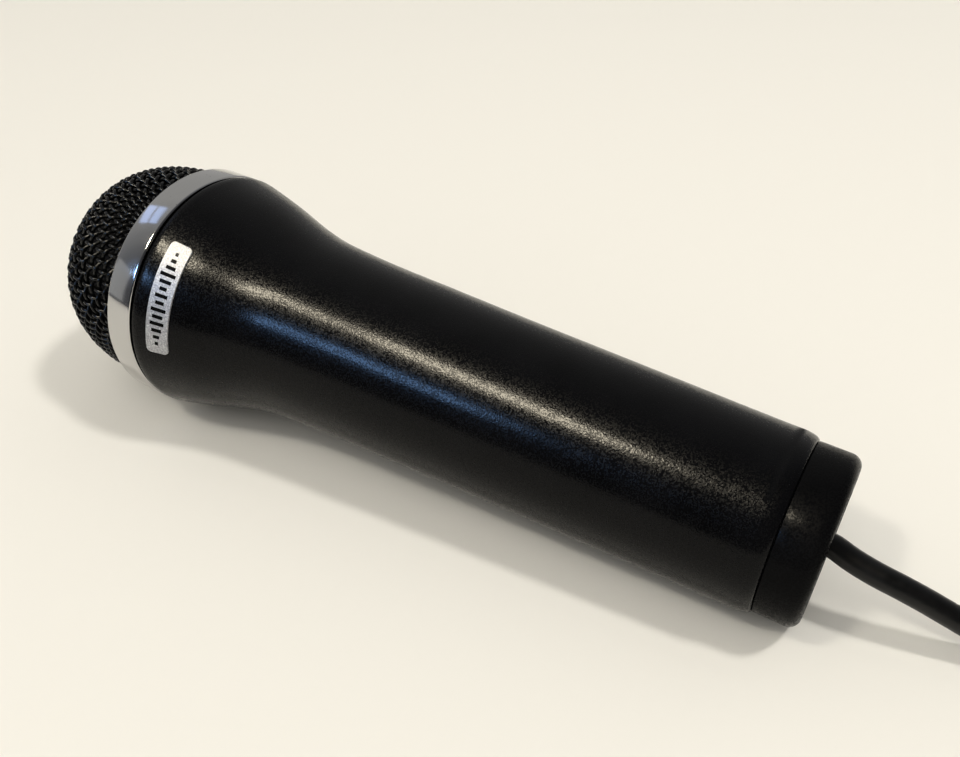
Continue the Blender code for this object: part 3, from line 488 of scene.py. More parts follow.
def wire_finish():
    """Glossy black paint over wire, its tone varying a little at random from place to place."""
    look = Look("black_wire_look", (0.0015, 0.0015, 0.002), 0.18, Specular_IOR_Level=0.18)
    lumps = look.noise(0.5 * MM, 2.0)
    wear = look.noise(3 * MM, 3.0)
    return look.wired(
        Base_Color=look.colours(wear, (0.35, grey(0.001)), (0.75, grey(0.003))),
        Roughness=look.spread(lumps, 0.13, 0.26),
        Normal=look.bump(lumps, 0.015 * MM),
    )


def foam_finish():
    look = Look("foam_look", grey(0.006), 1.0, Specular_IOR_Level=0.1)
    # The pores' hollows, dented by the bump, are painted darker than the ridges between them:
    # painted shade.
    holes = look.cells(0.55 * MM)
    return look.wired(
        Base_Color=look.colours(holes, (0.1, grey(0.002)), (0.6, (0.009, 0.009, 0.010))),
        Normal=look.bump(holes, 0.3 * MM),
    )


def silver_finish():
    """Silver foil with a fine metallic sparkle."""
    look = Look("silver_label_look", (0.46, 0.46, 0.47), 0.42, Metallic=0.55)
    flakes = look.noise(0.28 * MM, 1.0)
    low, middle, high = (0.24, 0.24, 0.25), (0.38, 0.38, 0.39), grey(0.60)
    return look.wired(
        Base_Color=look.colours(flakes, (0.32, low), (0.55, middle), (0.72, high)),
        Roughness=look.spread(flakes, 0.44, 0.60),
        Normal=look.bump(flakes, 0.02 * MM),
    )


def jacket_finish():
    """The cord's satin PVC skin, with faint scuffs."""
    look = Look("cable_jacket_look", grey(0.003), 0.30, Specular_IOR_Level=0.25)
    scuffs = look.noise(2.2 * MM, 4.0, 0.65)
    return look.wired(
        Base_Color=look.colours(scuffs, (0.35, grey(0.002)), (0.75, grey(0.004))),
        Roughness=look.spread(scuffs, 0.30, 0.46),
        Normal=look.bump(look.noise(0.6 * MM, 2.0), 0.02 * MM),
    )


def metal_finish(name, colour, roughness):
    """Brushed metal."""
    look = Look(name, colour, roughness, Metallic=1.0)
    streaks = look.noise(0.7 * MM, 3.0, at=look.stretched((0.3, 4.0, 4.0)))
    return look.wired(
        Roughness=look.spread(streaks, roughness - 0.06, roughness + 0.10),
        Normal=look.bump(streaks, 0.004 * MM),
    )


def board_finish():
    """Green solder mask over faint copper tracks."""
    look = Look("board_green_look", (0.015, 0.12, 0.045), 0.38)
    black, white = (0, 0, 0, 1), (1, 1, 1, 1)
    inputs = {"Vector": look.at, "Scale": 1.0 / (9 * MM), "Mortar Size": 0.03}
    inputs.update({"Color1": black, "Color2": black, "Mortar": white})
    tracks = look.node("ShaderNodeTexBrick", inputs).outputs["Color"]
    return look.wired(
        Base_Color=look.colours(tracks, (0.2, (0.012, 0.10, 0.04)), (0.8, (0.04, 0.22, 0.08))),
        Normal=look.bump(tracks, 0.03 * MM),
    )


def webbing_finish():
    """Black woven hook-and-loop strap: ribs across it and a fuzzy face."""
    fuzzy = {"Sheen_Weight": 0.35, "Sheen_Roughness": 0.5}
    look = Look("tie_fabric_look", (0.018, 0.018, 0.020), 0.9, **fuzzy)
    inputs = {"Vector": look.at, "Scale": 1.0 / (5.2 * MM), "Distortion": 0.6, "Detail": 1.0}
    rib = look.node("ShaderNodeTexWave", inputs, bands_direction="X").outputs["Fac"]
    fuzz = look.noise(0.35 * MM, 3.0)
    dark, light = (0.010, 0.010, 0.011), (0.036, 0.036, 0.040)
    return look.wired(
        Base_Color=look.colours(fuzz, (0.3, dark), (0.7, light)),
        Normal=look.bump(fuzz, 0.12 * MM, look.bump(rib, 0.15 * MM)),
    )


def make_finishes():
    """One finish for each material slot of the model, by the slot's name."""
    made = (
        wire_finish(),
        chrome_finish(),
        grained_black("black_body_look", (0.0019, 0.0019, 0.0022), 0.20, 0.10),
        grained_black("black_trim_look", (0.0026, 0.0026, 0.0028), 0.28, 0.03),
        silver_finish(),
        foam_finish(),
        moulded("rubber_look", grey(0.014), 0.68, 0.6 * MM, 0.02 * MM),
        jacket_finish(),
        metal_finish("aluminium_look", (0.72, 0.72, 0.74), 0.30),
        metal_finish("steel_look", (0.58, 0.58, 0.60), 0.24),
        metal_finish("brass_look", (0.86, 0.66, 0.30), 0.25),
        moulded("felt_look", (0.04, 0.04, 0.045), 0.95, 0.3 * MM, 0.15 * MM),
        moulded("grey_plastic_look", (0.10, 0.10, 0.11), 0.48),
        board_finish(),
        moulded("chip_black_look", (0.018, 0.018, 0.020), 0.55, 0.2 * MM),
        moulded("white_plastic_look", (0.74, 0.73, 0.68), 0.42, vary=0.04),
        moulded("lead_red_look", (0.42, 0.02, 0.02), 0.42),
        moulded("lead_black_look", grey(0.018), 0.42),
        webbing_finish(),
    )
    return {finish.name.removesuffix("_look"): finish for finish in made}


# ---- shape helpers


def new_piece(name, shape, slot, body, sharp=35.0, place=MIC, look=None):
    """A piece from a shape, which is a list of vertices and a list of faces. It has the slot's
    own look unless another is given."""
    mesh = bpy.data.meshes.new(name)
    mesh.from_pydata([tuple(v) for v in shape[0]], [], shape[1])
    mesh.materials.append(finishes[look or slot])
    bm = bmesh.new()
    bm.from_mesh(mesh)
    bmesh.ops.recalc_face_normals(bm, faces=bm.faces)
    bm.to_mesh(mesh)
    bm.free()
    mesh.shade_smooth()
    if sharp:
        mesh.set_sharp_from_angle(angle=radians(sharp))
    mesh.transform(place)
    piece = new_object(name, mesh)
    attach(piece, body)
    return piece


def turned_shape(outline, segments):
    """The shape of a closed outline of (x, radius) turned about the x axis.
    Points with radius 0, at the two ends only, become poles."""
    turns = [2 * pi * k / segments for k in range(segments)]
    vertices, rows = [], []
    for x, r in outline:
        if r <= 0:
            rows.append([len(vertices)] * segments)
            vertices.append((x, 0.0, 0.0))
        else:
            rows.append(range(len(vertices), len(vertices) + segments))
            vertices += [(x, r * cos(a), r * sin(a)) for a in turns]
    pairs = list(zip(rows, rows[1:]))
    if outline[0][1] > 0:
        pairs.append((rows[-1], rows[0]))
    faces = []
    for a, b in pairs:
        for k in range(segments):
            n = (k + 1) % segments
            faces.append(tuple(dict.fromkeys((a[k], a[n], b[n], b[k]))))
    return vertices, faces


def turned(name, outline, slot, body, segments=128, sharp=35.0):
    return new_piece(name, turned_shape(outline, segments), slot, body, sharp)


def curve_point(a, b, c, d, t):
    """The point at t on the smooth stretch from b to c, with a before it and d after it."""
    square = 2 * a - 5 * b + 4 * c - d
    cube = 3 * b - a - 3 * c + d
    return 0.5 * (2 * b + (c - a) * t + square * t**2 + cube * t**3)


def padded_ends(points):
    """The points with one more before and after them, for curve_point."""
    return [2 * points[0] - points[1], *points, 2 * points[-1] - points[-2]]


def catmull_rom(points, spacing):
    """Points about a spacing apart on the smooth curve through the given points."""
    pts = padded_ends([Vector(p) for p in points])
    out = []
    for a, b, c, d in zip(pts, pts[1:], pts[2:], pts[3:]):
        steps = max(1, ceil((c - b).length / spacing))
        out += [curve_point(a, b, c, d, k / steps) for k in range(steps)]
    return out + [pts[-2]]


def arc(cx, cr, radius, start, end, steps=5):
    """Outline points of a round corner about (cx, cr), angles in degrees from +x."""
    angles = [radians(start + (end - start) * k / steps) for k in range(steps + 1)]
    return [(cx + radius * cos(a), cr + radius * sin(a)) for a in angles]


def joined_grid(rows, closed=False):
    """The shape of rows of points, each row a closed loop."""
    count = len(rows[0])
    vertices = [p for row in rows for p in row]
    faces = []
    for i in range(len(rows) if closed else len(rows) - 1):
        a, b = i * count, (i + 1) % len(rows) * count
        for k in range(count):
            n = (k + 1) % count
            faces.append((a + k, a + n, b + n, b + k))
    return vertices, faces


def capped_grid(rows):
    """A joined grid with a face over each end."""
    vertices, faces = joined_grid(rows)
    count, total = len(rows[0]), len(vertices)
    faces += [tuple(range(count)), tuple(range(total - count, total))]
    return vertices, faces


def strip_grid(rows):
    """A joined grid whose rows run out along one skin and back along the other, with quads
    over its ends."""
    vertices, faces = joined_grid(rows)
    count = len(rows[0])
    for start in (0, len(vertices) - count):
        back = start + count - 1
        for k in range(count // 2 - 1):
            faces.append((start + k, start + k + 1, back - 1 - k, back - k))
    return vertices, faces


def add_shape(shape, more):
    """Adds the vertices and faces of one shape to another."""
    base = len(shape[0])
    shape[0].extend(more[0])
    shape[1].extend(tuple(base + k for k in face) for face in more[1])


def ease(t):
    t = min(1.0, max(0.0, t))
    return t * t * (3 - 2 * t)


# ---- the cord


# Where the winding changes: the lap, the fractions of it where the change starts and ends, and
# the (column, layer) it comes to. A lap is the run on the hank's -Y side, its far end, the run
# on its +Y side and its near end.
WINDING_START = (2, 0)
WINDING = [
    (0, 0.80, 0.98, (1, 0)),
    (1, 0.80, 0.98, (0, 0)),
    (2, 0.66, 0.78, (0, 1)),
    (3, 0.52, 0.64, (1, 1)),
    (4, 0.52, 0.64, (2, 1)),
    (5, 0.38, 0.50, (2, 2)),
    (6, 0.24, 0.36, (1, 2)),
    (7, 0.24, 0.36, (0, 2)),
    (8, 0.14, 0.235, (1, 3)),
]
LAST_LAP = 8
TIE_LIFT = (1.15 * MM, 0.75 * MM, 0.40 * MM, 0.0)
TIE_REACH = 14.0 * MM


def hank_point(fraction, radius):
    """The point of a winding of that radius at a fraction of its lap, in plan."""
    along = fraction * LAP_LENGTH
    if along < HANK_RUN:
        return HANK_X + HANK_HALF_RUN - along, HANK_Y - radius
    if along < HANK_RUN + HANK_BEND:
        a = radians(-90) - pi * (along - HANK_RUN) / HANK_BEND
        return HANK_X - HANK_HALF_RUN + radius * cos(a), HANK_Y + radius * sin(a)
    if along < 2 * HANK_RUN + HANK_BEND:
        return HANK_X - HANK_HALF_RUN + along - HANK_RUN - HANK_BEND, HANK_Y + radius
    a = radians(90) - pi * (along - 2 * HANK_RUN - HANK_BEND) / HANK_BEND
    return HANK_X + HANK_HALF_RUN + radius * cos(a), HANK_Y + radius * sin(a)


def winding_place(turns):
    """(column, layer) after that many laps, as floats while it changes."""
    column, layer = WINDING_START
    for lap, start, end, (to_column, to_layer) in WINDING:
        t = ease((turns - lap - start) / (end - start))
        column += (to_column - column) * t
        layer += (to_layer - layer) * t
        if t < 1:
            break
    return column, layer


def layer_height(layer, x):
    """A layer's height, lifted a little where the tie passes under the hank."""
    low = int(layer)
    share = layer - low
    lift = TIE_LIFT[low] * (1 - share) + TIE_LIFT[min(low + 1, len(TIE_LIFT) - 1)] * share
    near = exp(-(((x - TIE_X) / TIE_REACH) ** 4))
    return CABLE_R + layer * WINDING_STEP + lift * near


def hank_route():
    end = LAST_LAP + (HANK_RUN + HANK_BEND) / LAP_LENGTH
    count = round(end * LAP_LENGTH / CORD_STEP)
    points = []
    for k in range(count + 1):
        turns = end * k / count
        column, layer = winding_place(turns)
        x, y = hank_point(turns % 1.0, HANK_INNER_R + column * WINDING_STEP)
        points.append(Vector((x, y, layer_height(layer, x))))
    return points


def hermite(a, a_way, b, b_way, steps):
    """Points between a and b on the curve that leaves and arrives those ways."""
    out = []
    for k in range(1, steps):
        t = k / steps
        out.append(
            a * (2 * t**3 - 3 * t**2 + 1)
            + a_way * (t**3 - 2 * t**2 + t)
            + b * (3 * t**2 - 2 * t**3)
            + b_way * (t**3 - t**2)
        )
    return out


def cord_points():
    """Out of the tail, down to the floor, into the hank, round it, and to the plug on top."""
    route = [Vector((END_X + CORD_START, 0, EXIT_Z))]
    route += [Vector((END_X - d * MM, y * MM, z * MM)) for d, y, z in CABLE_ROUTE]
    lead = catmull_rom(route, LEAD_STEP)
    wound = hank_route()
    gap = (wound[0] - lead[-1]).length
    way_in = (lead[-1] - lead[-2]) * Vector((1, 1, 0))
    way_in = way_in.normalized() * gap
    entry = hermite(lead[-1], way_in, wound[0], Vector((-gap, 0, 0)), round(gap / CORD_STEP))
    boot_end = Vector((PLUG_REAR_X - BOOT_LENGTH + BOOT_OVERLAP, PLUG_Y, PLUG_Z))
    gap = (boot_end - wound[-1]).length
    way = Vector((gap, 0, 0))
    last = hermite(wound[-1], way, boot_end, way, max(4, round(gap / CORD_STEP)))
    return lead + entry + wound + last + [boot_end]


def add_cord():
    points = cord_points()
    curve = bpy.data.curves.new("cord", "CURVE")
    curve.dimensions = "3D"
    curve.bevel_depth = CABLE_R
    curve.bevel_resolution = 5
    curve.use_fill_caps = True
    spline = curve.splines.new("POLY")
    spline.points.add(len(points) - 1)
    for point, co in zip(spline.points, points):
        point.co = (*co, 1.0)
        point.radius = 1.0
    curve.materials.append(finishes["cable_jacket"])
    cord = new_object("cord", curve)
    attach(cord, "handle")
    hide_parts("cable_run", "cable_hank", "cable_end")
    return cord


# ---- the handle and its tail


def handle_outline():
    """Outer outline of the handle, front to rear, as (x, radius)."""
    knots = [(-s * MM, r * MM, 0.0) for s, r in HANDLE_OUTLINE]
    curve = [(p.x, p.y) for p in catmull_rom(knots, OUTLINE_STEP)]
    last_r = curve[-1][1]
    turns = [pi / 2 * k / SHOULDER_STEPS for k in range(SHOULDER_STEPS + 1)]
    rear = [
        (HANDLE_REAR_X + SHOULDER_LENGTH * (1 - sin(t)), last_r - SHOULDER_DROP * (1 - cos(t)))
        for t in turns
    ]
    return curve + rear


def handle_radius(x, outline):
    xs = [p[0] for p in reversed(outline)]
    rs = [p[1] for p in reversed(outline)]
    return float(np.interp(x, xs, rs))


def neck_thread():
    """A right-handed thread's ridge: a closed body wound about the x axis."""
    steps = round(THREAD_TURNS * THREAD_STEPS)
    rows = []
    for k in range(steps + 1):
        turn = THREAD_TURNS * k / steps
        x = THREAD_X + THREAD_PITCH * turn
        a = 2 * pi * turn + THREAD_ANGLE
        crest_r = NECK_R + THREAD_DEPTH * min(1.0, k / THREAD_FADE, (steps - k) / THREAD_FADE)
        section = [
            (x - THREAD_HALF_ROOT, NECK_R - THREAD_SINK),
            (x - THREAD_HALF_ROOT, NECK_R),
            (x - THREAD_HALF_CREST, crest_r),
            (x + THREAD_HALF_CREST, crest_r),
            (x + THREAD_HALF_ROOT, NECK_R),
            (x + THREAD_HALF_ROOT, NECK_R - THREAD_SINK),
        ]
        rows.append([(at, r * cos(a), r * sin(a)) for at, r in section])
    return capped_grid(rows)


def add_handle():
    outer = handle_outline()
    inner = [
        (x, max(r - HANDLE_WALL, TAIL_BORE_R))
        for x, r in reversed(outer)
        if TAIL_BORE_X + 2 * MM < x < HOLLOW_FRONT_X
    ]
    outline = (
        [(NECK_FRONT_X, NECK_BORE_R)]
        + arc(NECK_FRONT_X - NECK_CORNER, NECK_R - NECK_CORNER, NECK_CORNER, 0, 90)
        + [(NECK_REAR_X, NECK_R), (NECK_REAR_X, SEAL_GROOVE_R), (HANDLE_FRONT_X, SEAL_GROOVE_R)]
        + outer
        + [(HANDLE_REAR_X, TAIL_BORE_R), (TAIL_BORE_X, TAIL_BORE_R)]
        + inner
        + [SHELF_SLOPE, (SHELF_REAR_X, SHELF_R), (SHELF_FRONT_X, SHELF_R)]
        + [(SHELF_FRONT_X, NECK_BORE_R)]
    )
    shell = turned("handle", outline, "black_body", "handle", 160)
    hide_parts("handle_shell")
    new_piece("neck_thread", neck_thread(), "black_body", "handle")


def add_tail():
    stem, seam = TAIL_PLUG_CORNER, TAIL_SEAM_ROUND
    seat_x, wall_x = TAIL_REAR_X + END_DISC_SEAT, TAIL_PLUG_X - TAIL_WALL
    outline = (
        [(TAIL_PLUG_X, TAIL_HOLE_R)]
        + arc(TAIL_PLUG_X - stem, TAIL_PLUG_R - stem, stem, 0, 90)
        + [(TAIL_FRONT_X, TAIL_PLUG_R)]
        + arc(TAIL_FRONT_X - seam, TAIL_R - seam, seam, 0, 90, 3)
        + arc(TAIL_REAR_X + TAIL_ROUND, TAIL_R - TAIL_ROUND, TAIL_ROUND, 90, 180, 7)
        + [(x, END_DISC_R + END_DISC_GAP) for x in (TAIL_REAR_X, seat_x)]
        + [(seat_x, TAIL_HOLLOW_R), (wall_x, TAIL_HOLLOW_R), (wall_x, TAIL_HOLE_R)]
    )
    cap = turned("tail_sleeve", outline, "black_trim", "handle")
    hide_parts("tail_cap")

    round_r, face_x = END_DISC_ROUND, END_FACE_X
    outline = (
        [(face_x + END_DISC_THICKNESS, r) for r in (END_DISC_BORE_R, END_DISC_R)]
        + arc(face_x + round_r, END_DISC_R - round_r, round_r, 90, 180)
        + [(face_x + depth * MM, r * MM) for depth, r in END_GROOVE]
        + [(face_x, END_DISC_BORE_R)]
    )
    disc = turned("end_plate", outline, "black_trim", "handle", 96)
    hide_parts("end_disc")

    outline = (
        [(face_x + 4.6 * MM, GROMMET_BORE_R)]
        + [(face_x + depth * MM, r * MM) for depth, r in GROMMET_FLANGE]
        + arc(face_x + GROMMET_ROUND, GROMMET_ARC_R, GROMMET_ROUND, 90, 180, 4)
        + [(face_x, GROMMET_MOUTH_R), (face_x + GROMMET_ROUND, GROMMET_BORE_R)]
    )
    grommet = turned("grommet", outline, "rubber", "handle", 64)
    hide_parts("cable_grommet")


# ---- the label


def add_label():
    """A silver plate bent round the flare, with raised level-meter bars as its print."""
    outline = handle_outline()
    half_l, half_w = LABEL_LENGTH / 2, LABEL_WIDTH / 2
    middle_r = handle_radius(LABEL_X, outline)

    def on_handle(along, across, lift):
        x = LABEL_X + across
        r = handle_radius(x, outline) + lift
        a = LABEL_ANGLE + along / middle_r
        return x, r * cos(a), r * sin(a)

    def half_width(along):
        past = abs(along) - (half_l - LABEL_CORNER)
        if past <= 0:
            return half_w
        return half_w - LABEL_CORNER + (max(0.0, LABEL_CORNER**2 - past**2)) ** 0.5

    straight = np.linspace(-half_l + LABEL_CORNER, half_l - LABEL_CORNER, 41)
    bend = LABEL_CORNER * np.sin(np.linspace(0.05, 1.0, 6) * pi / 2)
    rows = []
    for s in (*(-half_l + LABEL_CORNER - bend[::-1]), *straight, *(half_l - LABEL_CORNER + bend)):
        widths = [half_width(s) * v for v in np.linspace(-1, 1, 11)]
        rows.append(
            [on_handle(s, w, LABEL_LIFT) for w in widths]
            + [on_handle(s, w, LABEL_TOP) for w in widths[::-1]]
        )
    plate = new_piece("label", strip_grid(rows), "silver_label", "handle")
    edge = plate.modifiers.new("rounded_edge", "BEVEL")
    edge.width = LABEL_EDGE
    edge.segments = 2
    edge.limit_method = "ANGLE"
    edge.angle_limit = radians(50)
    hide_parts("label_plate")

    bars = [], []
    for number, height in enumerate(BAR_HEIGHTS):
        middle = (number - (len(BAR_HEIGHTS) - 1) / 2) * BAR_STEP
        ends = np.linspace(-height / 2, height / 2, 7) * MM
        rows = [
            [on_handle(s, e, LABEL_TOP - BAR_HALF_THICKNESS) for e in ends]
            + [on_handle(s, e, LABEL_TOP + BAR_HALF_THICKNESS) for e in ends[::-1]]
            for s in np.linspace(middle - BAR_HALF_WIDTH, middle + BAR_HALF_WIDTH, 4)
        ]
        add_shape(bars, strip_grid(rows))
    new_piece("label_bars", bars, "black_trim", "handle")


# ---- the head


def dome_radius(height, base, top):
    return base * max(0.0, 1 - (height / top) ** DOME_SQUARENESS) ** (1 / DOME_SQUARENESS)


def dome_bowl(foot_x, base, top, wall, steps):
    """Closed outline of a domed bowl that starts at foot_x."""

    def side(r0, h0):
        heights = [h0 * sin(k / steps * pi / 2) ** DOME_SPREAD for k in range(1, steps)]
        points = [(RING_LENGTH + h, dome_radius(h, r0, h0)) for h in heights]
        shown = [p for p in points if p[0] > foot_x + 0.4 * MM]
        return [(foot_x, r0), *shown, (RING_LENGTH + h0, 0.0)]

    return side(base - wall, top - wall)[::-1] + side(base, top)


def add_ring():
    lip = DOME_FOOT_X - RING_LIP_GAP
    outline = (
        [(0.0, RING_BORE_R)]
        + arc(RING_ROUND, RING_R - RING_ROUND, RING_ROUND, 180, 90, 6)
        + arc(RING_LENGTH - RING_ROUND, RING_R - RING_ROUND, RING_ROUND, 90, 0, 6)
        + [(RING_LENGTH, RING_LIP_R), (lip, RING_LIP_R), (lip, RING_BORE_R)]
    )
    ring = turned("trim_ring", outline, "chrome", "head", 192)
    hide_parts("chrome_ring")


def add_foam():
    outline = dome_bowl(FOAM_X, FOAM_R, FOAM_HEIGHT, FOAM_THICKNESS, 20)
    foam = turned("foam_filter", outline, "foam", "head", 96)
    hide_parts("foam_liner")


def add_seal():
    outline = arc(SEAL_X, SEAL_R, SEAL_SECTION_R, 0, 337.5, 15)
    seal = turned("seal_ring", outline, "rubber", "seal", 96, 0)
    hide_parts("neck_seal")


# ---- the woven grille


MESH_R = DOME_R - 2 * WIRE_R  # the surface midway between the two sets of wires
MESH_HEIGHT = DOME_HEIGHT - 2 * WIRE_R
MESH_FOOT = -1.4 * MM  # how far the wires reach behind the ring's front
MESH_TURN = radians(20)  # of the weave about the microphone's axis
CRIMP = 0.98 * WIRE_R
SAMPLES = 6  # per wire spacing
WIRE_SIDES = 8
FLATTEST = 0.12 * WIRE_PITCH  # a cell squashed flatter than this ends the weave
NET_FOOT = MESH_FOOT - 2.2 * WIRE_PITCH


def outside(p):
    """Above 0 outside the mesh surface, below 0 inside. p is (height above the ring, y, z)."""
    r = hypot(p[1], p[2]) / MESH_R
    if p[0] <= 0:
        return r - 1
    return r**DOME_SQUARENESS + (p[0] / MESH_HEIGHT) ** DOME_SQUARENESS - 1


def surface_normal(p):
    r = max(hypot(p[1], p[2]), 1e-9)
    q = DOME_SQUARENESS - 1
    across = (r / MESH_R) ** q / MESH_R
    along = (max(p[0], 0.0) / MESH_HEIGHT) ** q / MESH_HEIGHT
    n = np.array((along, across * p[1] / r, across * p[2] / r))
    return n / np.linalg.norm(n)


def surface_crossing(point_at, inside, beyond, halvings):
    """The mesh surface's point on a curve, between an angle inside it and one beyond it."""
    for _ in range(halvings):
        t = (inside + beyond) / 2
        p = point_at(t)
        if outside(p) > 0:
            beyond = t
        else:
            inside = t
    return p


def meridian(count, direction):
    """Points a wire spacing apart down the dome from its apex."""
    points = [np.array((MESH_HEIGHT, 0.0, 0.0))]
    side = np.array((0.0, *direction))
    down = np.array((-1.0, 0.0, 0.0))
    for _ in range(count):
        a = points[-1]
        points.append(
            surface_crossing(lambda t: a + WIRE_PITCH * (cos(t) * side + sin(t) * down), pi, 0.0, 40)
        )
    return points


def next_crossing(back, a, b):
    """The surface point a wire spacing from both a and b, on the side away from back."""
    middle = (a + b) / 2
    between = b - a
    reach = WIRE_PITCH**2 - between @ between / 4
    if reach <= FLATTEST**2:
        return None
    reach = reach**0.5
    on = middle - back
    on = on - (on @ between) / (between @ between) * between
    on /= np.linalg.norm(on)
    out = np.cross(between, on)
    out /= np.linalg.norm(out)
    if out @ surface_normal(middle) < 0:
        out = -out
    return surface_crossing(
        lambda t: middle + reach * (cos(t) * on + sin(t) * out), -pi / 2, pi / 2, 36
    )


def quarter_net(one, other):
    """Crossings of the weave between two quarter meridians, by (i, j)."""
    net = {(0, 0): one[0]}
    for k in range(1, len(one)):
        net[k, 0], net[0, k] = one[k], other[k]
    for i in range(1, len(one)):
        for j in range(1, len(one)):
            back, a, b = (net.get(key) for key in ((i - 1, j - 1), (i, j - 1), (i - 1, j)))
            if back is None or a is None or b is None:
                continue
            if max(a[0], b[0]) < NET_FOOT:
                continue
            p = next_crossing(back, a, b)
            if p is not None:
                net[i, j] = p
    return net


def weave_crossings():
    reach = ceil((MESH_R + MESH_HEIGHT) * 1.25 / WIRE_PITCH)
    ways = [(cos(MESH_TURN + q * pi / 2), sin(MESH_TURN + q * pi / 2)) for q in range(4)]
    arms = [meridian(reach, way) for way in ways]
    net = {}
    for q, (si, sj) in enumerate(((1, 1), (-1, 1), (-1, -1), (1, -1))):
        swap = q % 2
        quarter = quarter_net(arms[q], arms[(q + 1) % 4])
        for (i, j), p in quarter.items():
            if swap:
                i, j = j, i
            net[si * i, sj * j] = p
    return net


def wire_lines(net, along_i):
    """Each wire's run of (crossing, over or under), ended at the dome's foot."""
    lines = {}
    for (i, j), p in net.items():
        key, order = (j, i) if along_i else (i, j)
        sign = (1 if (i + j) % 2 else -1) * (1 if along_i else -1)
        lines.setdefault(key, {})[order] = (p, sign)
    for key in sorted(lines):
        line, run = lines[key], []
        for order in range(min(line), max(line) + 2):
            if order in line:
                run.append(line[order])
            elif run:
                if len(run) > 1:
                    yield run
                run = []


def wire_centre(run):
    """Fine points of one wire, weaving over and under, as (point, normal)."""
    base = padded_ends([p for p, _ in run])
    out = []
    for k in range(len(run) - 1):
        for m in range(SAMPLES):
            t = m / SAMPLES
            p = curve_point(*base[k : k + 4], t)
            n = surface_normal(p)
            out.append((p + n * (run[k][1] * CRIMP * cos(pi * t)), n))
    p, sign = run[-1]
    n = surface_normal(p)
    out.append((p + n * (sign * CRIMP), n))
    return [q for q in out if q[0][0] >= MESH_FOOT]


def wire_tube(centre):
    points = np.array([p for p, _ in centre])
    normals = np.array([n for _, n in centre])
    ways = np.gradient(points, axis=0)
    ways /= np.linalg.norm(ways, axis=1)[:, None]
    sides = np.cross(ways, normals)
    sides /= np.linalg.norm(sides, axis=1)[:, None]
    tops = np.cross(sides, ways)
    angles = 2 * pi * np.arange(WIRE_SIDES) / WIRE_SIDES
    rings = (
        points[:, None]
        + WIRE_R * np.cos(angles)[None, :, None] * sides[:, None]
        + WIRE_R * np.sin(angles)[None, :, None] * tops[:, None]
    )
    rings[:, :, 0] += RING_LENGTH
    return capped_grid(rings)


def add_grille():
    """A dome of woven wire, in two pieces: the wires each way."""
    net = weave_crossings()
    for name, along_i in (("grille_warp", True), ("grille_weft", False)):
        wires = [], []
        for run in wire_lines(net, along_i):
            centre = wire_centre(run)
            if len(centre) > 3:
                add_shape(wires, wire_tube(centre))
        new_piece(name, wires, "black_wire", "head", 0)
    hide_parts("grille_dome")


# ---- the tie and the plug


def rounded_loop(half_a, half_b, radius, steps):
    """Points round a rounded rectangle with their outward directions, as (a, b, na, nb)."""
    out = []
    corners = ((1, 1, 0), (-1, 1, 90), (-1, -1, 180), (1, -1, 270))
    for side_a, side_b, start in corners:
        ca, cb = side_a * (half_a - radius), side_b * (half_b - radius)
        for k in range(steps + 1):
            t = radians(start + 90 * k / steps)
            out.append((ca + radius * cos(t), cb + radius * sin(t), cos(t), sin(t)))
    return out


def rounded_outline(half_a, half_b, radius, steps):
    return [(a, b) for a, b, _, _ in rounded_loop(half_a, half_b, radius, steps)]


def strap_section(half_width, half_thickness):
    return rounded_outline(half_width, half_thickness, STRAP_EDGE, 3)


def add_tie():
    """A strap round the hank, its tail closed over the top."""
    half_t = TIE_THICKNESS / 2
    middle_z = TIE_TOP / 2
    loop = rounded_loop(TIE_HALF_SPAN - half_t, middle_z - half_t, TIE_CORNER, 10)
    dense = []
    for (a, b, na, nb), (c, d, _, _) in zip(loop, loop[1:] + loop[:1]):
        pieces = max(1, ceil(hypot(c - a, d - b) / TIE_STEP))
        for k in range(pieces):
            t = k / pieces
            dense.append((a + (c - a) * t, b + (d - b) * t, na, nb))
    section = strap_section(TIE_WIDTH / 2, half_t)
    rows = [
        [(TIE_X + x, HANK_Y + a + na * t, middle_z + b + nb * t) for x, t in section]
        for a, b, na, nb in dense
    ]
    shape = joined_grid(rows, closed=True)
    tie = new_piece("tie", shape, "tie_fabric", "handle", 40, IN_PLACE)
    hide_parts("hank_tie")

    rows = []
    for y in np.linspace(TAB_START, TAB_END, 30):
        past = max(0.0, y - (TAB_END - TAB_ROUND)) / TAB_ROUND
        half_w = TIE_WIDTH / 2 - TAB_NARROWING * (1 - (1 - min(past, 0.999) ** 2) ** 0.5)
        peel = TAB_PEEL * ease((y - TAB_PEEL_START) / TAB_PEEL_LENGTH)
        z = TIE_TOP + TAB_GAP + TAB_HALF_THICKNESS + peel
        section = strap_section(half_w, TAB_HALF_THICKNESS)
        rows.append([(TIE_X + x, HANK_Y + y, z + t) for x, t in section])
    new_piece("tie_tab", capped_grid(rows), "tie_fabric", "handle", 40, IN_PLACE)


def superellipse(half_a, half_b, power, count):
    out = []
    for k in range(count):
        t = 2 * pi * k / count
        c, s = cos(t), sin(t)
        a = half_a * abs(c) ** (2 / power) * (1 if c >= 0 else -1)
        b = half_b * abs(s) ** (2 / power) * (1 if s >= 0 else -1)
        out.append((a, b))
    return out


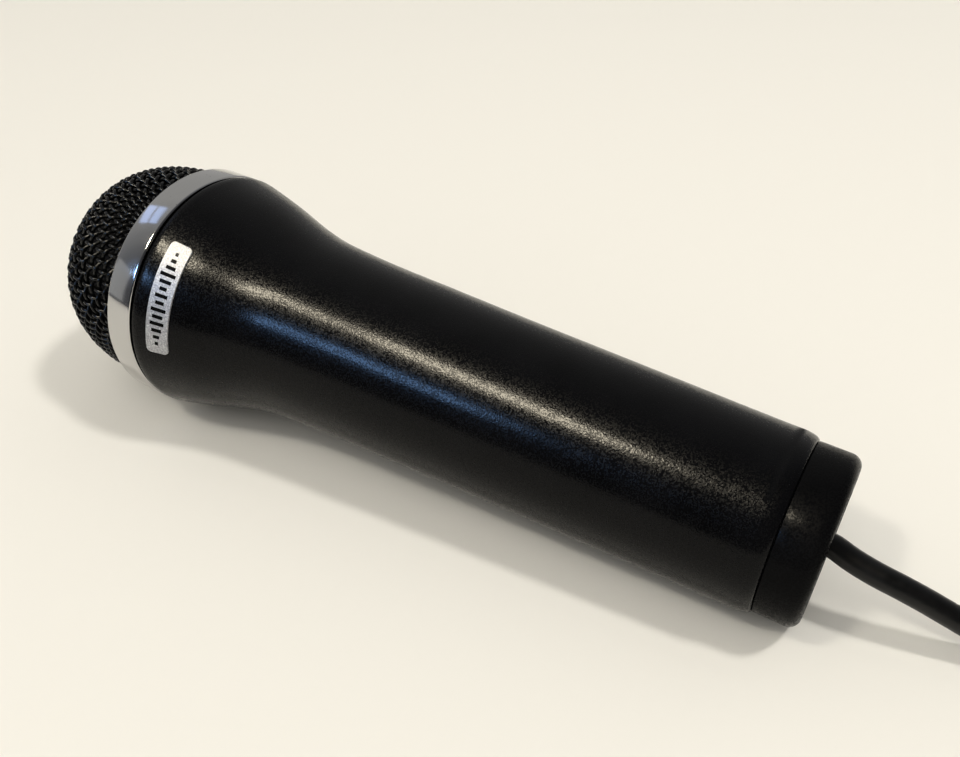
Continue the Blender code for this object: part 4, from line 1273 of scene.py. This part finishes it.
def add_plug_grip():
    stations = PLUG_REAR.copy()
    for groove in PLUG_GROOVES:
        stations += [(groove + x, w, h) for x, w, h in PLUG_GROOVE]
    rows = []
    for x, w, h in stations + PLUG_FRONT:
        section = superellipse(w * MM, h * MM, PLUG_SQUARENESS, 56)
        rows.append([(PLUG_REAR_X + x * MM, PLUG_Y + a, PLUG_Z + b) for a, b in section])
    grip = new_piece("plug_grip", capped_grid(rows), "black_trim", "handle", 40, IN_PLACE)
    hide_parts("plug_body")

    outline = [(-x * MM, r * MM) for x, r in BOOT_FRONT]
    for rib_x, rib_r in BOOT_RIBS:
        x, r = -rib_x * MM, rib_r * MM
        outline += [(x - back * MM, r - drop * MM) for back, drop in BOOT_RIB]
    outline += [(-x * MM, r * MM) for x, r in BOOT_REAR]
    place = Matrix.Translation((PLUG_REAR_X - BOOT_GAP, PLUG_Y, PLUG_Z))
    boot = new_piece("plug_relief", turned_shape(outline, 48), "black_trim", "handle", 50, place)
    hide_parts("plug_boot")


def shell_skin(inset):
    """The metal shell's section at an inset, with points where the windows' sides are."""
    corner = SHELL_CORNER - inset * 0.6
    loop = rounded_outline(SHELL_HALF_WIDTH - inset, SHELL_HALF_HEIGHT - inset, corner, 4)
    skin = []
    for (a, b), (c, _) in zip(loop, loop[1:] + loop[:1]):
        skin.append((a, b))
        if abs(c - a) > 4 * MM:
            skin += [(edge * MM * (1 if a < c else -1), b) for edge in WINDOW_EDGES]
    return skin


def add_plug_shell():
    """The plug's metal shell, open at both ends, with two windows in its top and two below."""
    skins = [shell_skin(inset) for inset in (0.0, SHELL_WALL)]
    count, last = len(skins[0]), len(SHELL_STOPS) - 1
    vertices = [
        (x, PLUG_Y + a, PLUG_Z + b) for skin in skins for x in SHELL_STOPS for a, b in skin
    ]

    def at(skin, s, k):
        return (skin * len(SHELL_STOPS) + s) * count + k % count

    def is_window(s, k):
        """Whether the cell is a window, between two of the WINDOW_EDGES in the second row."""
        width = abs(skins[0][k % count][0] - skins[0][(k + 1) % count][0])
        return s == 1 and 2 * MM < width < 2.7 * MM

    faces = []

    def wall(e, f):
        """A face between the two skins, along the edge from e to f."""
        faces.append((at(0, *e), at(0, *f), at(1, *f), at(1, *e)))

    for s in range(last):
        for k in range(count):
            if not is_window(s, k):
                cell = ((s, k), (s, k + 1), (s + 1, k + 1), (s + 1, k))
                faces += [tuple(at(skin, *corner) for corner in cell) for skin in (0, 1)]
                continue
            for e, f, beyond in (
                ((s, k), (s, k + 1), (s - 1, k)),
                ((s + 1, k + 1), (s + 1, k), (s + 1, k)),
                ((s, k + 1), (s + 1, k + 1), (s, k + 1)),
                ((s + 1, k), (s, k), (s, k - 1)),
            ):
                if not is_window(*beyond):
                    wall(e, f)
    for s in (0, last):
        for k in range(count):
            wall((s, k), (s, k + 1))
    shell = new_piece("plug_metal", (vertices, faces), "steel", "handle", 40, IN_PLACE)
    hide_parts("plug_shell")


def add_plug_contacts():
    contacts = [], []
    loop = rounded_outline(CONTACT_HALF_LENGTH, CONTACT_HALF_WIDTH, CONTACT_CORNER, 3)
    for number in range(4):
        y = PLUG_Y + (number - 1.5) * CONTACT_STEP
        setback = OUTER_SETBACK if number in (0, 3) else INNER_SETBACK
        x = CONTACT_END_X - setback - CONTACT_HALF_LENGTH
        heights = (TONGUE_TOP - CONTACT_SUNK, TONGUE_TOP + CONTACT_PROUD)
        add_shape(contacts, capped_grid([[(x + a, y + b, z) for a, b in loop] for z in heights]))
    new_piece("plug_contacts", contacts, "steel", "handle", 40, IN_PLACE, look="brass")


# ---- start

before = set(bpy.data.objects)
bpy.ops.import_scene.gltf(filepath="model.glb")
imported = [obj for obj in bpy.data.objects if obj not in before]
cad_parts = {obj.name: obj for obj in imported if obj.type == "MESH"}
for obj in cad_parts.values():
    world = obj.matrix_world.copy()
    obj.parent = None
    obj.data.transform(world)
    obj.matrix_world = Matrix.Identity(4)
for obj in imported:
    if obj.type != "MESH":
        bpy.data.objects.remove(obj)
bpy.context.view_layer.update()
finishes = make_finishes()
add_camera()
cord = add_cord()
add_tie()
add_plug_grip()
add_plug_shell()
add_plug_contacts()
add_handle()
add_tail()
add_label()
add_ring()
add_foam()
add_seal()
add_grille()
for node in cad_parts.values():
    slot = node.data.materials[0].name.split(".")[0]
    node.material_slots[0].material = finishes[slot]
add_world()
add_lights()
add_floor()
bpy.context.scene.view_settings.view_transform = "Standard"
